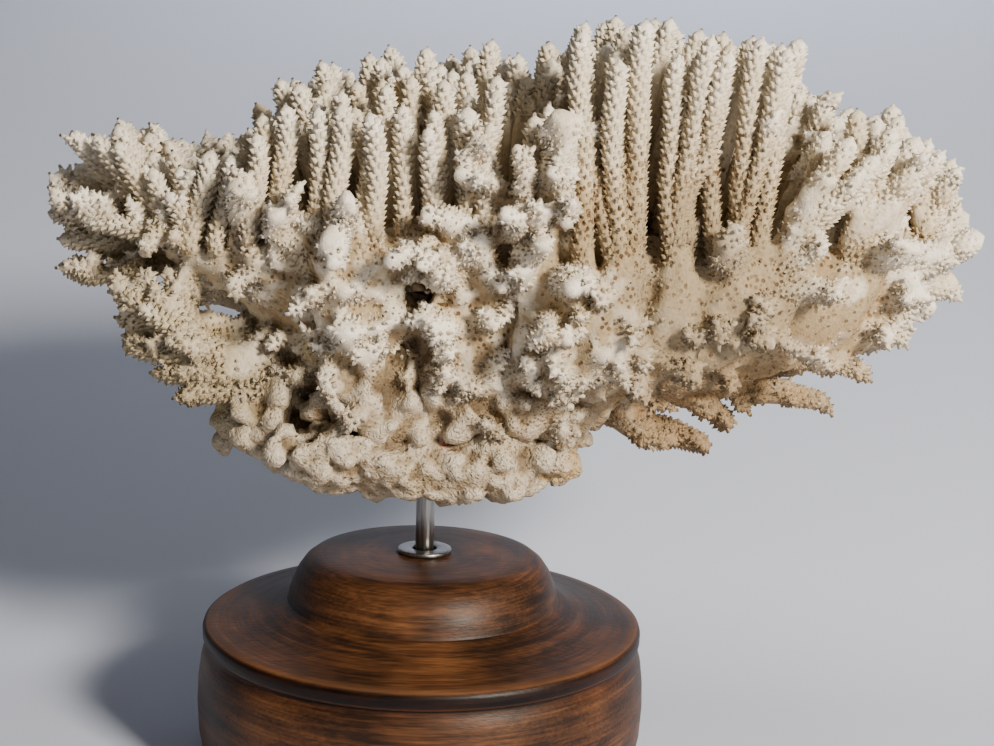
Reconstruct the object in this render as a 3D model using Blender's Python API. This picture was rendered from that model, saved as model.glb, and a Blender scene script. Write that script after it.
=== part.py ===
"""Branching table coral on a rod over a turned wooden base.

Frame: +Z up, the camera's side of the object faces -Y, +X to the right. The origin is the centre of
the base's underside, on the rod's axis. Lengths in the tables are millimetres.
"""
import math
import random

import bmesh
import bpy
from mathutils import Vector, noise

MM = 0.001                      # metres in a millimetre
GAP = 0.3                       # clearance between neighbouring pieces

# Stand
ROD_RADIUS = 4.0
ROD_FOOT, ROD_HEAD = 62.0, 156.0
WASHER_RADIUS, WASHER_HOLE_RADIUS, WASHER_THICKNESS = 11.5, 5.2, 1.8
BOSS_TOP = 90.0
BASE_SIDES, ROUND_SIDES = 32, 14
# Turned profile from the underside outwards and up: radius, height
BASE_PROFILE = [
    (89.0, 0.0), (94.0, 10.0), (96.0, 28.0), (95.0, 44.0), (91.8, 53.0), (93.6, 55.2),
    (93.6, 60.0), (92.0, 62.0), (76.0, 64.2), (57.8, 71.0), (55.4, 79.0), (51.5, 86.4),
    (45.5, BOSS_TOP),
]

# Coral: the stem's axis, and the ring of limbs around it
STEM_X, STEM_Y = 15.0, 5.0
STEM_RADIUS = 25.0
LIMB_START = 26.6               # where the limbs fork off the stem
LIMB_FLOOR = 150.3              # underside of the limbs, just over the root mass
FORK_DEPTH = 0.13               # how far the cleft at each fork cuts in, of the limb's length
CLEFT_RISE = 27.0               # height over which the clefts grow to that depth
FOOT_DEPTH = 6.0                # how deep a finger's foot sits in the fused coral at least
SETTLING_STEPS = 8              # rounds in which a foot is drawn in and kept off the forks
LUMP = 0.05                     # unevenness of the fused surface, of its radius

# Fork directions in degrees, 0 is right, 90 is back, 270 is the camera's side
LIMBS = [
    ("coral_limb_right", -20, 15),
    ("coral_limb_right_back", 15, 50),
    ("coral_limb_back_right", 50, 85),
    ("coral_limb_back", 85, 125),
    ("coral_limb_left_back", 125, 160),
    ("coral_limb_left", 160, 195),
    ("coral_limb_front_left", 195, 225),
    ("coral_limb_front_left_middle", 225, 255),
    ("coral_limb_front", 255, 285),
    ("coral_limb_front_right", 285, 317),
    ("coral_limb_right_front", 317, 340),
]

# Reach of the fused coral from the stem's axis at each height, every 45 degrees from the right:
# height, right, back right, back, back left, left, front left, front, front right
BODY = [
    (150.3, 56, 55, 48, 55, 72, 76, 54, 54),
    (164.0, 86, 70, 60, 64, 76, 78, 57, 62),
    (178.0, 132, 92, 72, 74, 78, 78, 58, 80),
    (192.0, 166, 110, 84, 88, 88, 81, 61, 92),
    (207.0, 181, 123, 92, 105, 112, 88, 64, 99),
    (222.0, 184, 127, 95, 116, 144, 98, 66, 99),
    (234.0, 158, 108, 80, 100, 132, 84, 50, 82),
]
# The same for the dead root mass, from the rod's axis
ROOT = [
    (123.5, 40, 36, 26, 26, 22, 30, 38, 44),
    (128.0, 54, 48, 40, 44, 46, 56, 49, 56),
    (136.0, 62, 56, 48, 56, 70, 72, 52, 61),
    (144.0, 66, 58, 50, 62, 84, 81, 52, 61),
    (149.0, 62, 54, 46, 60, 87, 80, 49, 58),
]
# Knobs on the root mass: x, y, z, radius
ROOT_KNOBS = [
    (14, -51, 140, 7), (32, -50, 142, 7), (48, -42, 141, 8), (56, -30, 138, 10), (36, -46, 131, 8),
    (-6, -51, 133, 7), (-20, -53, 140, 9), (-40, -58, 138, 9), (-57, -58, 145, 9),
    (-70, -46, 147, 9), (-77, -24, 151, 12), (-80, 8, 147, 11), (-30, 50, 141, 8),
]

# Crown: tips stand on this line above the stand's axis (x, height), seen square from the front
CROWN_LINE = [
    (-155, 246), (-142, 264), (-125, 272), (-110, 264), (-96, 259), (-84, 266), (-70, 280),
    (-55, 292), (-40, 299), (-20, 302), (0, 304), (12, 304), (22, 309), (38, 303), (50, 311),
    (70, 317), (100, 317), (125, 313), (142, 310), (152, 290), (170, 284), (190, 282), (205, 266),
    (226, 260),
]
CROWN_X, CROWN_Y = 35.0, 8.0    # centre of the crown in plan
CROWN_REACH_X, CROWN_REACH_FRONT, CROWN_REACH_BACK = 190.0, 84.0, 96.0
CROWN_PITCH = 22.0              # spacing of the fingers
CROWN_ROOT = 215.0              # height inside the limbs where the fingers start
CROWN_FOOT = 222.0              # height of the fused rim that the crown rises from
CROWN_FRONT = 8.0               # how much further the stubs over that rim stand out
CROWN_SPREAD = 0.72             # a finger's root lies at this share of its tip's distance,
EDGE_SPREAD, EDGE_AWAY = 0.16, 160.0    # and at this much more when it stands this far out
FINGER_FOOT_RADIUS, FINGER_TIP_RADIUS = 4.9, 4.1
FINGER_SIDES, TWIG_SIDES = 5, 4
TWIG_RADIUS = 4.3               # a finger thinner than this at its tip is cut with the fewer sides

# Stubs on the camera's side, as seen on a plane 60 mm in front of the rod's axis:
# tip x, tip z, root x, root z, how far the tip stands out, radius
SEEN_PLANE = -60.0
CAMERA_X, CAMERA_Y, CAMERA_Z = 28.5, -661.0, 281.8
FRONT_STUBS = [
    (-108, 219, -96, 231, 14, 4.6), (-93, 213, -80, 217, 15, 4.5), (-90, 204, -80, 211, 18, 4.7),
    (-70, 247, -68, 236, 14, 8.0), (-57, 237, -57, 228, 14, 6.2), (-52, 244, -50, 235, 8, 4.6),
    (-30, 244, -31, 235, 13, 5.6), (-35, 230, -33, 221, 18, 6.4), (-36, 217, -33, 227, 13, 4.4),
    (-69, 224, -66, 215, 14, 6.4), (-52, 225, -50, 215, 13, 5.6), (-58, 205, -66, 212, 14, 5.0),
    (-48, 204, -38, 208, 17, 5.0), (-32, 208, -22, 207, 14, 5.0),
    (18, 265, 20, 256, 14, 6.8), (11, 254, 28, 251, 14, 5.4), (33, 266, 38, 246, 10, 5.4),
    (43, 242, 38, 234, 14, 5.2), (29, 240, 38, 234, 18, 5.2), (44, 229, 38, 224, 17, 5.4),
    (50, 278, 50, 258, 11, 7.4), (46, 256, 50, 249, 14, 5.0), (52, 235, 54, 247, 12, 4.8),
    (-1, 240, 16, 232, 12, 6.8), (17, 231, 34, 221, 10, 7.6), (-14, 218, 4, 229, 20, 4.2),
    (-3, 218, 10, 224, 22, 4.2), (5, 210, 18, 219, 18, 4.8), (33, 211, 22, 220, 16, 5.4),
    (3, 194, 17, 201, 16, 6.2), (11, 174, 18, 187, 12, 4.6), (-31, 191, -14, 199, 15, 6.2),
    (-3, 199, -14, 200, 12, 5.0), (-18, 183, -17, 196, 12, 4.2), (56, 211, 47, 217, 21, 6.0),
    (44, 192, 48, 203, 20, 6.0), (55, 191, 49, 199, 18, 5.2), (50, 184, 48, 191, 12, 4.8),
    (69, 210, 62, 203, 14, 5.0), (72, 188, 84, 195, 14, 4.8), (88, 186, 84, 195, 12, 4.8),
    (81, 198, 84, 204, 16, 5.4), (56, 155, 54, 165, 6, 4.4), (113, 232, 113, 217, 16, 8.0),
    (152, 231, 150, 222, 11, 4.8), (129, 205, 130, 213, 14, 6.0), (114, 196, 107, 208, 14, 4.6),
    (103, 191, 106, 202, 10, 4.6), (157, 214, 150, 217, 12, 6.0), (188, 215, 172, 212, 12, 7.0),
    (186, 232, 170, 226, 13, 7.0), (155, 185, 142, 203, 8, 4.4), (179, 198, 160, 202, 6, 5.0),
    (-42, 191, -33, 175, 11, 5.0), (-29, 186, -22, 195, 12, 4.6), (-57, 187, -53, 179, 11, 5.2),
    (-68, 185, -60, 179, 12, 5.0), (-62, 194, -58, 186, 10, 4.8), (-74, 191, -64, 185, 10, 4.4),
    (-85, 197, -68, 180, 13, 4.8), (66, 176, 70, 186, 10, 5.0),
    (20, 170, 22, 178, 8, 5.0), (98, 178, 100, 188, 9, 5.0), (134, 192, 128, 200, 12, 5.4),
]
# Branches placed by their own root and tip: x, y, z, x, y, z, radius at root and tip
BRANCHES = [
    # the cluster low on the left: a trunk with a fan of fingers
    (-38, -26, 168, -92, -46, 183, 10.0, 8.0), (-88, -45, 181, -122, -47, 208, 6.2, 4.6),
    (-84, -42, 182, -101, -46, 214, 6.2, 4.8), (-88, -45, 183, -112, -47, 210, 5.4, 4.4),
    (-84, -44, 178, -120, -48, 194, 5.6, 4.4), (-78, -44, 176, -117, -50, 183, 5.6, 4.4),
    (-70, -42, 173, -106, -52, 173, 5.6, 4.4), (-60, -38, 170, -94, -50, 163, 6.5, 5.0),
    (-82, -45, 180, -108, -62, 201, 5.6, 4.2), (-78, -44, 180, -98, -62, 188, 5.0, 4.2),
    (-48, -32, 163, -71, -46, 167, 8.5, 7.0),
    # broken end and lobes under the left side of the crown
    (-86, -16, 221, -141, -30, 207, 6.4, 5.0), (-86, -20, 220, -146, -34, 222, 6.0, 5.0),
    (-88, -18, 220, -152, -28, 232, 6.0, 5.0), (-80, -34, 219, -132, -52, 233, 6.0, 5.0),
    (-90, 0, 220, -154, 6, 226, 6.0, 4.6), (-90, -10, 220, -155, -12, 242, 6.0, 4.4),
    (-96, 14, 220, -148, 28, 238, 6.0, 4.4), (-94, -16, 218, -134, -20, 216, 6.0, 4.8),
    # long spikes low on the right
    (92, -10, 172, 164, -18, 164, 6.4, 4.6), (96, -4, 168, 128, -12, 153, 5.6, 4.0),
    (62, -4, 160, 117, -14, 143, 7.0, 5.2), (74, -8, 157, 98, -18, 143, 5.6, 4.4),
    # the right end
    (166, -8, 206, 215, -14, 214, 7.0, 5.2), (168, -20, 212, 220, -30, 234, 7.0, 5.2),
    (168, 6, 216, 224, 4, 240, 7.0, 4.8), (166, 4, 202, 213, 10, 201, 6.4, 4.8),
    (160, -6, 196, 199, -10, 194, 6.4, 4.8), (150, 2, 190, 190, 8, 186, 6.2, 4.6),
    (140, -14, 186, 178, -22, 178, 6.0, 4.6), (166, 14, 212, 214, 30, 222, 6.6, 4.8),
]
# Side stubs on the hidden side, in rows: height, step in degrees
HIDDEN_ROWS = [(178.0, 27.0), (206.0, 22.0)]
HIDDEN_FROM, HIDDEN_TO = 22.0, 172.0
HIDDEN_OUT, HIDDEN_RISE = 18.0, 8.0


def blend_rows(rows, height):
    """Row of radii at a height, between the two nearest rows."""
    if height <= rows[0][0]:
        return rows[0][1:]
    for low, high in zip(rows, rows[1:]):
        if height <= high[0]:
            share = (height - low[0]) / (high[0] - low[0])
            return [a + (b - a) * share for a, b in zip(low[1:], high[1:])]
    return rows[-1][1:]


def reach(rows, degrees, height):
    """Radius of a lumpy body in one direction at one height."""
    row = blend_rows(rows, height)
    place = (degrees % 360.0) / 45.0
    index = int(place)
    share = 0.5 - 0.5 * math.cos(math.pi * (place - index))
    return row[index % 8] * (1.0 - share) + row[(index + 1) % 8] * share


def lumpy(degrees, height, seed):
    """Unevenness of the surface as a factor near one."""
    angle = math.radians(degrees)
    spot = Vector((2.4 * math.cos(angle), 2.4 * math.sin(angle), height / 26.0 + seed))
    return 1.0 + LUMP * 2.0 * noise.noise(spot)


def fused_reach(limb_row, degrees, height):
    """Radius of a limb's fused part in one direction, with its clefts and lumps."""
    name, low, high = limb_row
    share = ((degrees - low) % 360.0) / (high - low)
    depth = FORK_DEPTH * min(1.0, (height - LIMB_FLOOR) / CLEFT_RISE)
    cleft = 1.0 - depth * abs(2.0 * min(share, 1.0) - 1.0) ** 4
    return reach(BODY, degrees, height) * cleft * lumpy(degrees, height, low * 0.01)


def crown_height(x, y):
    """Height of the finger tips over a place in plan."""
    line = CROWN_LINE
    if x <= line[0][0]:
        top = line[0][1]
    elif x >= line[-1][0]:
        top = line[-1][1]
    else:
        for (x0, z0), (x1, z1) in zip(line, line[1:]):
            if x0 <= x <= x1:
                top = z0 + (z1 - z0) * (x - x0) / (x1 - x0)
                break
    away = y - CROWN_Y
    if away < 0.0:
        pipes = 1.0 if 55.0 < x < 150.0 else 0.0          # the tall row of pipes keeps its height
        fall = (0.30 - 0.20 * pipes) * (away / CROWN_REACH_FRONT) ** 2
    else:
        fall = 0.22 * (away / CROWN_REACH_BACK) ** 2
    return CROWN_ROOT + (top - CROWN_ROOT) * (1.0 - fall)


def crown_fingers():
    """Roots and tips of the crown's fingers, on a jittered triangular grid."""
    dice = random.Random(11)
    fingers = []
    row_step = CROWN_PITCH * math.sqrt(3.0) / 2.0
    for row in range(-7, 8):
        for column in range(-13, 14):
            x = CROWN_X + (column + 0.5 * (row % 2)) * CROWN_PITCH + dice.uniform(-3.5, 3.5)
            y = CROWN_Y + row * row_step + dice.uniform(-3.5, 3.5)
            shift = dice.uniform(-9.0, 2.0)
            across = (x - CROWN_X) / CROWN_REACH_X
            reach_y = CROWN_REACH_FRONT if y < CROWN_Y else CROWN_REACH_BACK
            along = (y - CROWN_Y) / reach_y
            if abs(across) ** 2.3 + abs(along) ** 2.3 > 1.0:
                continue
            tip = Vector((x, y, crown_height(x, y) + shift))
            share = CROWN_SPREAD + EDGE_SPREAD * min(
                1.0, math.hypot(x - STEM_X, y - STEM_Y) / EDGE_AWAY) ** 2
            foot = Vector((STEM_X + (x - STEM_X) * share, STEM_Y + (y - STEM_Y) * share,
                           CROWN_ROOT))
            fingers.append((foot, tip, FINGER_FOOT_RADIUS, FINGER_TIP_RADIUS))
    return fingers


def place_seen(x, z, y):
    """A point seen at x, z on the front plane, moved along the line of sight to the depth y."""
    share = (y - CAMERA_Y) / (SEEN_PLANE - CAMERA_Y)
    return Vector((CAMERA_X + (x - CAMERA_X) * share, y, CAMERA_Z + (z - CAMERA_Z) * share))


def front_depth(x, z):
    """Depth of the fused surface on the camera's side at x, z."""
    for y in range(-110, 0, 2):
        away = math.hypot(x - STEM_X, y - STEM_Y)
        degrees = math.degrees(math.atan2(y - STEM_Y, x - STEM_X))
        if away <= reach(BODY, degrees, z) * (1.0 - 0.5 * FORK_DEPTH):
            return float(y)
    return -30.0


def front_stubs():
    """Roots and tips of the stubs on the camera's side."""
    stubs = []
    for tip_x, tip_z, root_x, root_z, out, radius in FRONT_STUBS:
        surface = front_depth(root_x, min(root_z, CROWN_FOOT))
        if root_z > CROWN_FOOT:
            surface -= CROWN_FRONT
        foot = place_seen(root_x, root_z, surface + 9.0)
        tip = place_seen(tip_x, tip_z, surface - out)
        stubs.append((foot, tip, radius * 1.12, radius * 0.88))
    return stubs


def hidden_stubs():
    """Roots and tips of the side stubs on the far side."""
    dice = random.Random(5)
    stubs = []
    for height, step in HIDDEN_ROWS:
        degrees = HIDDEN_FROM + dice.uniform(0.0, step)
        while degrees < HIDDEN_TO:
            angle = math.radians(degrees)
            start = reach(BODY, degrees, height) - 12.0
            end = start + 12.0 + HIDDEN_OUT * dice.uniform(0.6, 1.1)
            rise = HIDDEN_RISE * dice.uniform(0.2, 1.6)
            turn = math.radians(dice.uniform(-3.0, 3.0))
            foot = Vector((STEM_X + start * math.cos(angle), STEM_Y + start * math.sin(angle), height))
            tip = Vector((STEM_X + end * math.cos(angle + turn),
                          STEM_Y + end * math.sin(angle + turn), height + rise))
            stubs.append((foot, tip, 5.6, 4.4))
            degrees += step * dice.uniform(0.85, 1.15)
    return stubs


def own_branches():
    """Branches placed by their own root and tip."""
    return [(Vector(row[0:3]), Vector(row[3:6]), row[6], row[7]) for row in BRANCHES]


def limb_of(tip):
    """Name of the limb whose fork a tip stands over, or the stem."""
    away = Vector((tip.x - STEM_X, tip.y - STEM_Y))
    if away.length * CROWN_SPREAD < STEM_RADIUS - 3.0:
        return "coral_root_stem"
    degrees = math.degrees(math.atan2(away.y, away.x))
    for name, low, high in LIMBS:
        if (degrees - low) % 360.0 < high - low:
            return name
    return LIMBS[0][0]


def keep_between_forks(point, name, margin):
    """Move a point until it is clear of the planes where its limb forks from its neighbours."""
    for limb, low, high in LIMBS:
        if limb != name:
            continue
        for degrees, side in ((low, 1.0), (high, -1.0)):
            angle = math.radians(degrees)
            normal = Vector((-math.sin(angle), math.cos(angle), 0.0)) * side
            clear = (point - Vector((STEM_X, STEM_Y, 0.0))).dot(normal)
            if clear < margin:
                point = point + normal * (margin - clear)
    return point


def sink(point, limb_row):
    """Draw a finger's foot inwards until it sits in the fused coral."""
    away = Vector((point.x - STEM_X, point.y - STEM_Y, 0.0))
    degrees = math.degrees(math.atan2(away.y, away.x))
    height = min(max(point.z, LIMB_FLOOR), BODY[-1][0])
    limit = fused_reach(limb_row, degrees, height) - FOOT_DEPTH
    if away.length > limit:
        away = away.normalized() * limit
    height = min(point.z, BODY[-1][0] - FOOT_DEPTH)
    return Vector((STEM_X + away.x, STEM_Y + away.y, height))


def keep_off_stem(point, margin):
    """Move a limb's point out of the stem."""
    away = Vector((point.x - STEM_X, point.y - STEM_Y, 0.0))
    if away.length < LIMB_START + margin:
        away = away.normalized() * (LIMB_START + margin)
        return Vector((STEM_X + away.x, STEM_Y + away.y, point.z))
    return point


def keep_in_stem(point, radius):
    """Keep a finger on the stem inside the stem's outline up to the crown's floor."""
    away = Vector((point.x - STEM_X, point.y - STEM_Y, 0.0))
    limit = STEM_RADIUS - radius - 1.5
    if away.length > limit:
        away = away.normalized() * limit
    return Vector((STEM_X + away.x, STEM_Y + away.y, point.z))


def material(name, colour, roughness, metallic=0.0):
    """Plain material with the piece's own colour."""
    made = bpy.data.materials.new(name)
    made.use_nodes = True
    shader = made.node_tree.nodes["Principled BSDF"]
    shader.inputs["Base Color"].default_value = (*colour, 1.0)
    shader.inputs["Roughness"].default_value = roughness
    shader.inputs["Metallic"].default_value = metallic
    made.diffuse_color = (*colour, 1.0)
    return made


def to_object(name, builder, surface=None):
    """Turn millimetre geometry into a named object in metres."""
    bmesh.ops.scale(builder, vec=(MM, MM, MM), verts=builder.verts)
    bmesh.ops.recalc_face_normals(builder, faces=builder.faces)
    mesh = bpy.data.meshes.new(name)
    builder.to_mesh(mesh)
    builder.free()
    made = bpy.data.objects.new(name, mesh)
    bpy.context.scene.collection.objects.link(made)
    if surface:
        mesh.materials.append(surface)
        mesh.shade_smooth()
        mesh.set_sharp_from_angle(angle=math.radians(40.0))
    return made


def turned(name, profile, sides, surface):
    """Solid of revolution about Z. A profile that ends off the axis is closed into a ring."""
    builder = bmesh.new()
    rings = []
    for radius, height in profile:
        if radius == 0.0:
            rings.append([builder.verts.new((0.0, 0.0, height))])
            continue
        rings.append([builder.verts.new((radius * math.cos(math.tau * k / sides),
                                         radius * math.sin(math.tau * k / sides), height))
                      for k in range(sides)])
    closed = profile[0][0] != 0.0 and profile[-1][0] != 0.0
    pairs = list(zip(rings, rings[1:])) + ([(rings[-1], rings[0])] if closed else [])
    for lower, upper in pairs:
        if len(lower) == 1 or len(upper) == 1:
            continue
        for k in range(sides):
            builder.faces.new((lower[k], lower[(k + 1) % sides], upper[(k + 1) % sides], upper[k]))
    if not closed:
        for ring, centre in ((rings[1], rings[0]), (rings[-2], rings[-1])):
            builder.verts.remove(centre[0])
            builder.faces.new(ring)
    return to_object(name, builder, surface)


def finger(builder, foot, tip, foot_radius, tip_radius, twist):
    """A tapered finger with a pointed end, its faces a little turned by twist."""
    sides = TWIG_SIDES if tip_radius < TWIG_RADIUS and foot_radius > FINGER_FOOT_RADIUS else FINGER_SIDES
    along = (tip - foot).normalized()
    side = along.orthogonal().normalized()
    other = along.cross(side)
    shoulder = tip - along * tip_radius * 1.3
    rings = []
    for centre, radius in ((foot, foot_radius), (shoulder, tip_radius)):
        ring = []
        for k in range(sides):
            angle = math.tau * (k / sides + twist)
            ring.append(builder.verts.new(centre + (side * math.cos(angle)
                                                    + other * math.sin(angle)) * radius))
        rings.append(ring)
    point = builder.verts.new(tip)
    builder.faces.new(rings[0][::-1])
    for k in range(sides):
        after = (k + 1) % sides
        builder.faces.new((rings[0][k], rings[0][after], rings[1][after], rings[1][k]))
        builder.faces.new((rings[1][k], rings[1][after], point))


def union(target, parts):
    """Join fingers or knobs to the body that they grow from."""
    parts.hide_render = True
    parts.display_type = "WIRE"
    join = target.modifiers.new("grown together", "BOOLEAN")
    join.operation = "UNION"
    join.solver = "EXACT"
    join.use_self = True
    join.object = parts


def finger_set(name, fingers):
    """One guide mesh that holds all the fingers of a piece."""
    builder = bmesh.new()
    for index, (foot, tip, foot_radius, tip_radius) in enumerate(fingers):
        finger(builder, foot, tip, foot_radius, tip_radius, 0.137 * index)
    return to_object(name + "_fingers", builder)


def limb(name, low, high, fingers, surface):
    """One main limb: a wedge of the fused coral between two forks, with its fingers."""
    builder = bmesh.new()
    columns = 5
    rings = []
    for height, *_ in BODY:
        ring = []
        for k in range(columns + 1):
            degrees = low + (high - low) * k / columns
            radius = fused_reach((name, low, high), degrees, height)
            angle = math.radians(degrees)
            spot = Vector((STEM_X + radius * math.cos(angle), STEM_Y + radius * math.sin(angle), height))
            ring.append(keep_between_forks(spot, name, 0.5 * GAP))
        for degrees in (high, low):
            angle = math.radians(degrees)
            spot = Vector((STEM_X + LIMB_START * math.cos(angle),
                           STEM_Y + LIMB_START * math.sin(angle), height))
            ring.append(keep_between_forks(spot, name, 0.5 * GAP))
        rings.append([builder.verts.new(spot) for spot in ring])
    count = len(rings[0])
    for lower, upper in zip(rings, rings[1:]):
        for k in range(count):
            after = (k + 1) % count
            builder.faces.new((lower[k], lower[after], upper[after], upper[k]))
    builder.faces.new(rings[0][::-1])
    builder.faces.new(rings[-1])
    bmesh.ops.triangulate(builder, faces=[f for f in builder.faces if len(f.verts) == 4])
    body = to_object(name, builder, surface)
    union(body, finger_set(name, fingers))
    return body


def root_and_stem(name, fingers, surface):
    """The dead root mass with the stem on it, bored from below for the rod."""
    builder = bmesh.new()
    sides = 20
    rings = []
    for height, *_ in ROOT:
        ring = []
        for k in range(sides):
            degrees = 360.0 * k / sides
            radius = reach(ROOT, degrees, height) * lumpy(degrees, height * 1.6, 3.0)
            angle = math.radians(degrees)
            ring.append(builder.verts.new((radius * math.cos(angle), radius * math.sin(angle), height)))
        rings.append(ring)
    for lower, upper in zip(rings, rings[1:]):
        for k in range(sides):
            after = (k + 1) % sides
            builder.faces.new((lower[k], lower[after], upper[after], upper[k]))
    builder.faces.new(rings[0][::-1])
    builder.faces.new(rings[-1])
    bmesh.ops.triangulate(builder, faces=[f for f in builder.faces if len(f.verts) == 4])
    body = to_object(name, builder, surface)

    extras = bmesh.new()
    made = bmesh.ops.create_cone(extras, cap_ends=True, segments=12, radius1=STEM_RADIUS,
                                 radius2=STEM_RADIUS, depth=BODY[-1][0] - 140.0)
    bmesh.ops.translate(extras, verts=made["verts"],
                        vec=(STEM_X, STEM_Y, 0.5 * (BODY[-1][0] + 140.0)))
    for x, y, z, radius in ROOT_KNOBS:
        made = bmesh.ops.create_icosphere(extras, subdivisions=1, radius=radius)
        bmesh.ops.translate(extras, verts=made["verts"], vec=(x, y, z))
    for index, (foot, tip, foot_radius, tip_radius) in enumerate(fingers):
        finger(extras, foot, tip, foot_radius, tip_radius, 0.137 * index)
    union(body, to_object(name + "_growths", extras))

    bore = bmesh.new()
    floor = ROOT[0][0] - 10.0
    bmesh.ops.create_cone(bore, cap_ends=True, segments=ROUND_SIDES, radius1=ROD_RADIUS + GAP,
                          radius2=ROD_RADIUS + GAP, depth=ROD_HEAD + GAP - floor)
    bmesh.ops.translate(bore, verts=bore.verts, vec=(0.0, 0.0, 0.5 * (ROD_HEAD + GAP + floor)))
    cutter = to_object("rod_bore", bore)
    cutter.hide_render = True
    cutter.display_type = "WIRE"
    cut = body.modifiers.new("bore for the rod", "BOOLEAN")
    cut.operation = "DIFFERENCE"
    cut.solver = "EXACT"
    cut.object = cutter
    return body


def sort_fingers():
    """All fingers, stubs and branches by the piece that they grow from, clear of the forks."""
    by_piece = {name: [] for name, _, _ in LIMBS}
    by_piece["coral_root_stem"] = []
    rows = {row[0]: row for row in LIMBS}
    own = own_branches()
    for foot, tip, foot_radius, tip_radius in crown_fingers() + front_stubs() + hidden_stubs() + own:
        name = limb_of(tip)
        if name == "coral_root_stem":
            foot = keep_in_stem(foot, foot_radius)
            tip = keep_in_stem(tip, tip_radius)
        else:
            margin = foot_radius + 0.5 * GAP + 0.1
            if (foot, tip, foot_radius, tip_radius) not in own:
                for _ in range(SETTLING_STEPS):
                    foot = sink(keep_between_forks(foot, name, margin), rows[name])
            foot = keep_between_forks(foot, name, margin)
            tip = keep_between_forks(tip, name, tip_radius + 0.5 * GAP + 0.1)
            foot = keep_off_stem(foot, foot_radius + GAP)
        by_piece[name].append((foot, tip, foot_radius, tip_radius))
    return by_piece


def build():
    for leftover in list(bpy.data.objects):
        bpy.data.objects.remove(leftover, do_unlink=True)

    wood = material("stained wood", (0.16, 0.07, 0.035), 0.42)
    zinc = material("zinc-plated washer", (0.55, 0.55, 0.53), 0.38, 1.0)
    steel = material("bright steel rod", (0.6, 0.6, 0.6), 0.3, 1.0)

    hole = ROD_RADIUS + GAP
    turned("wooden_base", [(0.0, 0.0)] + BASE_PROFILE
           + [(hole, BOSS_TOP), (hole, ROD_FOOT - GAP), (0.0, ROD_FOOT - GAP)], BASE_SIDES, wood)
    under = BOSS_TOP + GAP
    turned("washer", [(WASHER_HOLE_RADIUS, under), (WASHER_RADIUS, under),
                      (WASHER_RADIUS, under + WASHER_THICKNESS),
                      (WASHER_HOLE_RADIUS, under + WASHER_THICKNESS)], ROUND_SIDES, zinc)
    turned("steel_rod", [(0.0, ROD_FOOT), (ROD_RADIUS, ROD_FOOT), (ROD_RADIUS, ROD_HEAD),
                         (0.0, ROD_HEAD)], ROUND_SIDES, steel)

    by_piece = sort_fingers()
    root_and_stem("coral_root_stem", by_piece["coral_root_stem"],
                  material("dead root coral", (0.62, 0.54, 0.43), 0.85))
    for name, low, high in LIMBS:
        limb(name, low, high, by_piece[name], material(name.replace("_", " "), (0.8, 0.73, 0.62), 0.8))


build()
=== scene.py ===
"""Branching table coral on its rod and turned wooden base, dressed for a studio picture.

Tables are in millimetres in the part's own frame: +Z up, the camera's side is -Y, the origin is
the centre of the base's underside on the rod's axis. Meshes are made in metres.
"""

import math
import random

import bpy
import numpy as np
from mathutils import Matrix, Vector, kdtree, noise
from mathutils.bvhtree import BVHTree


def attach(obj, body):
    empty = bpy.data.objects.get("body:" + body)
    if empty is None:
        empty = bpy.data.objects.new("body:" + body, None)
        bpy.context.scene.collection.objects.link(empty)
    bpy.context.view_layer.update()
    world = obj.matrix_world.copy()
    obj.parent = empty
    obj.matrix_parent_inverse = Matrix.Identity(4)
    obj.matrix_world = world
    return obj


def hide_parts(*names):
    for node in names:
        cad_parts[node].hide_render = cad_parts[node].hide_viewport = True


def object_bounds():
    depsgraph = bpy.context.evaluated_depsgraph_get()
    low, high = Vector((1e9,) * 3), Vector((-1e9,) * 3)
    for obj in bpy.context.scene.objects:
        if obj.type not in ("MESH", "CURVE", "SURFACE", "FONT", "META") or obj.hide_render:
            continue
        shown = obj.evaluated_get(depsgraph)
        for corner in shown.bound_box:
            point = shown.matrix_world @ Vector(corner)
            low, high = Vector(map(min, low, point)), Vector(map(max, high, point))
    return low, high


MM = 0.001
NOISE_SEED = 5
noise.seed_set(NOISE_SEED)      # without it the fingers' sway would change from run to run

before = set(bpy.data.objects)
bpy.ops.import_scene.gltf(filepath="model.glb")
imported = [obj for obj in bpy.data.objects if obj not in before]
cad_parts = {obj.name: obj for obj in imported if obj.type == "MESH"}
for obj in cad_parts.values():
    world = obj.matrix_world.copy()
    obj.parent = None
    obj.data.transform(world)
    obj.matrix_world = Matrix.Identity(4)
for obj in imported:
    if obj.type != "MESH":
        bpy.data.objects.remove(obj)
CAD_BOX = [list(corner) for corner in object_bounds()]

# The skeleton of the colony, as the solids have it

STEM_X, STEM_Y = 15.0, 5.0
STEM_RADIUS = 25.0
LIMB_START = 26.6
LIMB_FLOOR = 150.3
FORK_DEPTH, CLEFT_RISE = 0.13, 27.0
FOOT_DEPTH = 6.0
SETTLING_STEPS = 8
LUMP = 0.05                     # unevenness of the fused coral, as a share of its radius
LUMPS_AROUND, LUMP_HEIGHT = 2.4, 26.0
GAP = 0.3                       # between neighbouring limbs at their fork
FORK_MARGIN = 0.1               # further clearance of a finger from its fork
STEM_MARGIN = 1.5               # least cover of the stem over its own fingers' sides

LIMBS = [
    ("coral_limb_right", -20, 15),
    ("coral_limb_right_back", 15, 50),
    ("coral_limb_back_right", 50, 85),
    ("coral_limb_back", 85, 125),
    ("coral_limb_left_back", 125, 160),
    ("coral_limb_left", 160, 195),
    ("coral_limb_front_left", 195, 225),
    ("coral_limb_front_left_middle", 225, 255),
    ("coral_limb_front", 255, 285),
    ("coral_limb_front_right", 285, 317),
    ("coral_limb_right_front", 317, 340),
]
STEM = "coral_root_stem"

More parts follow.
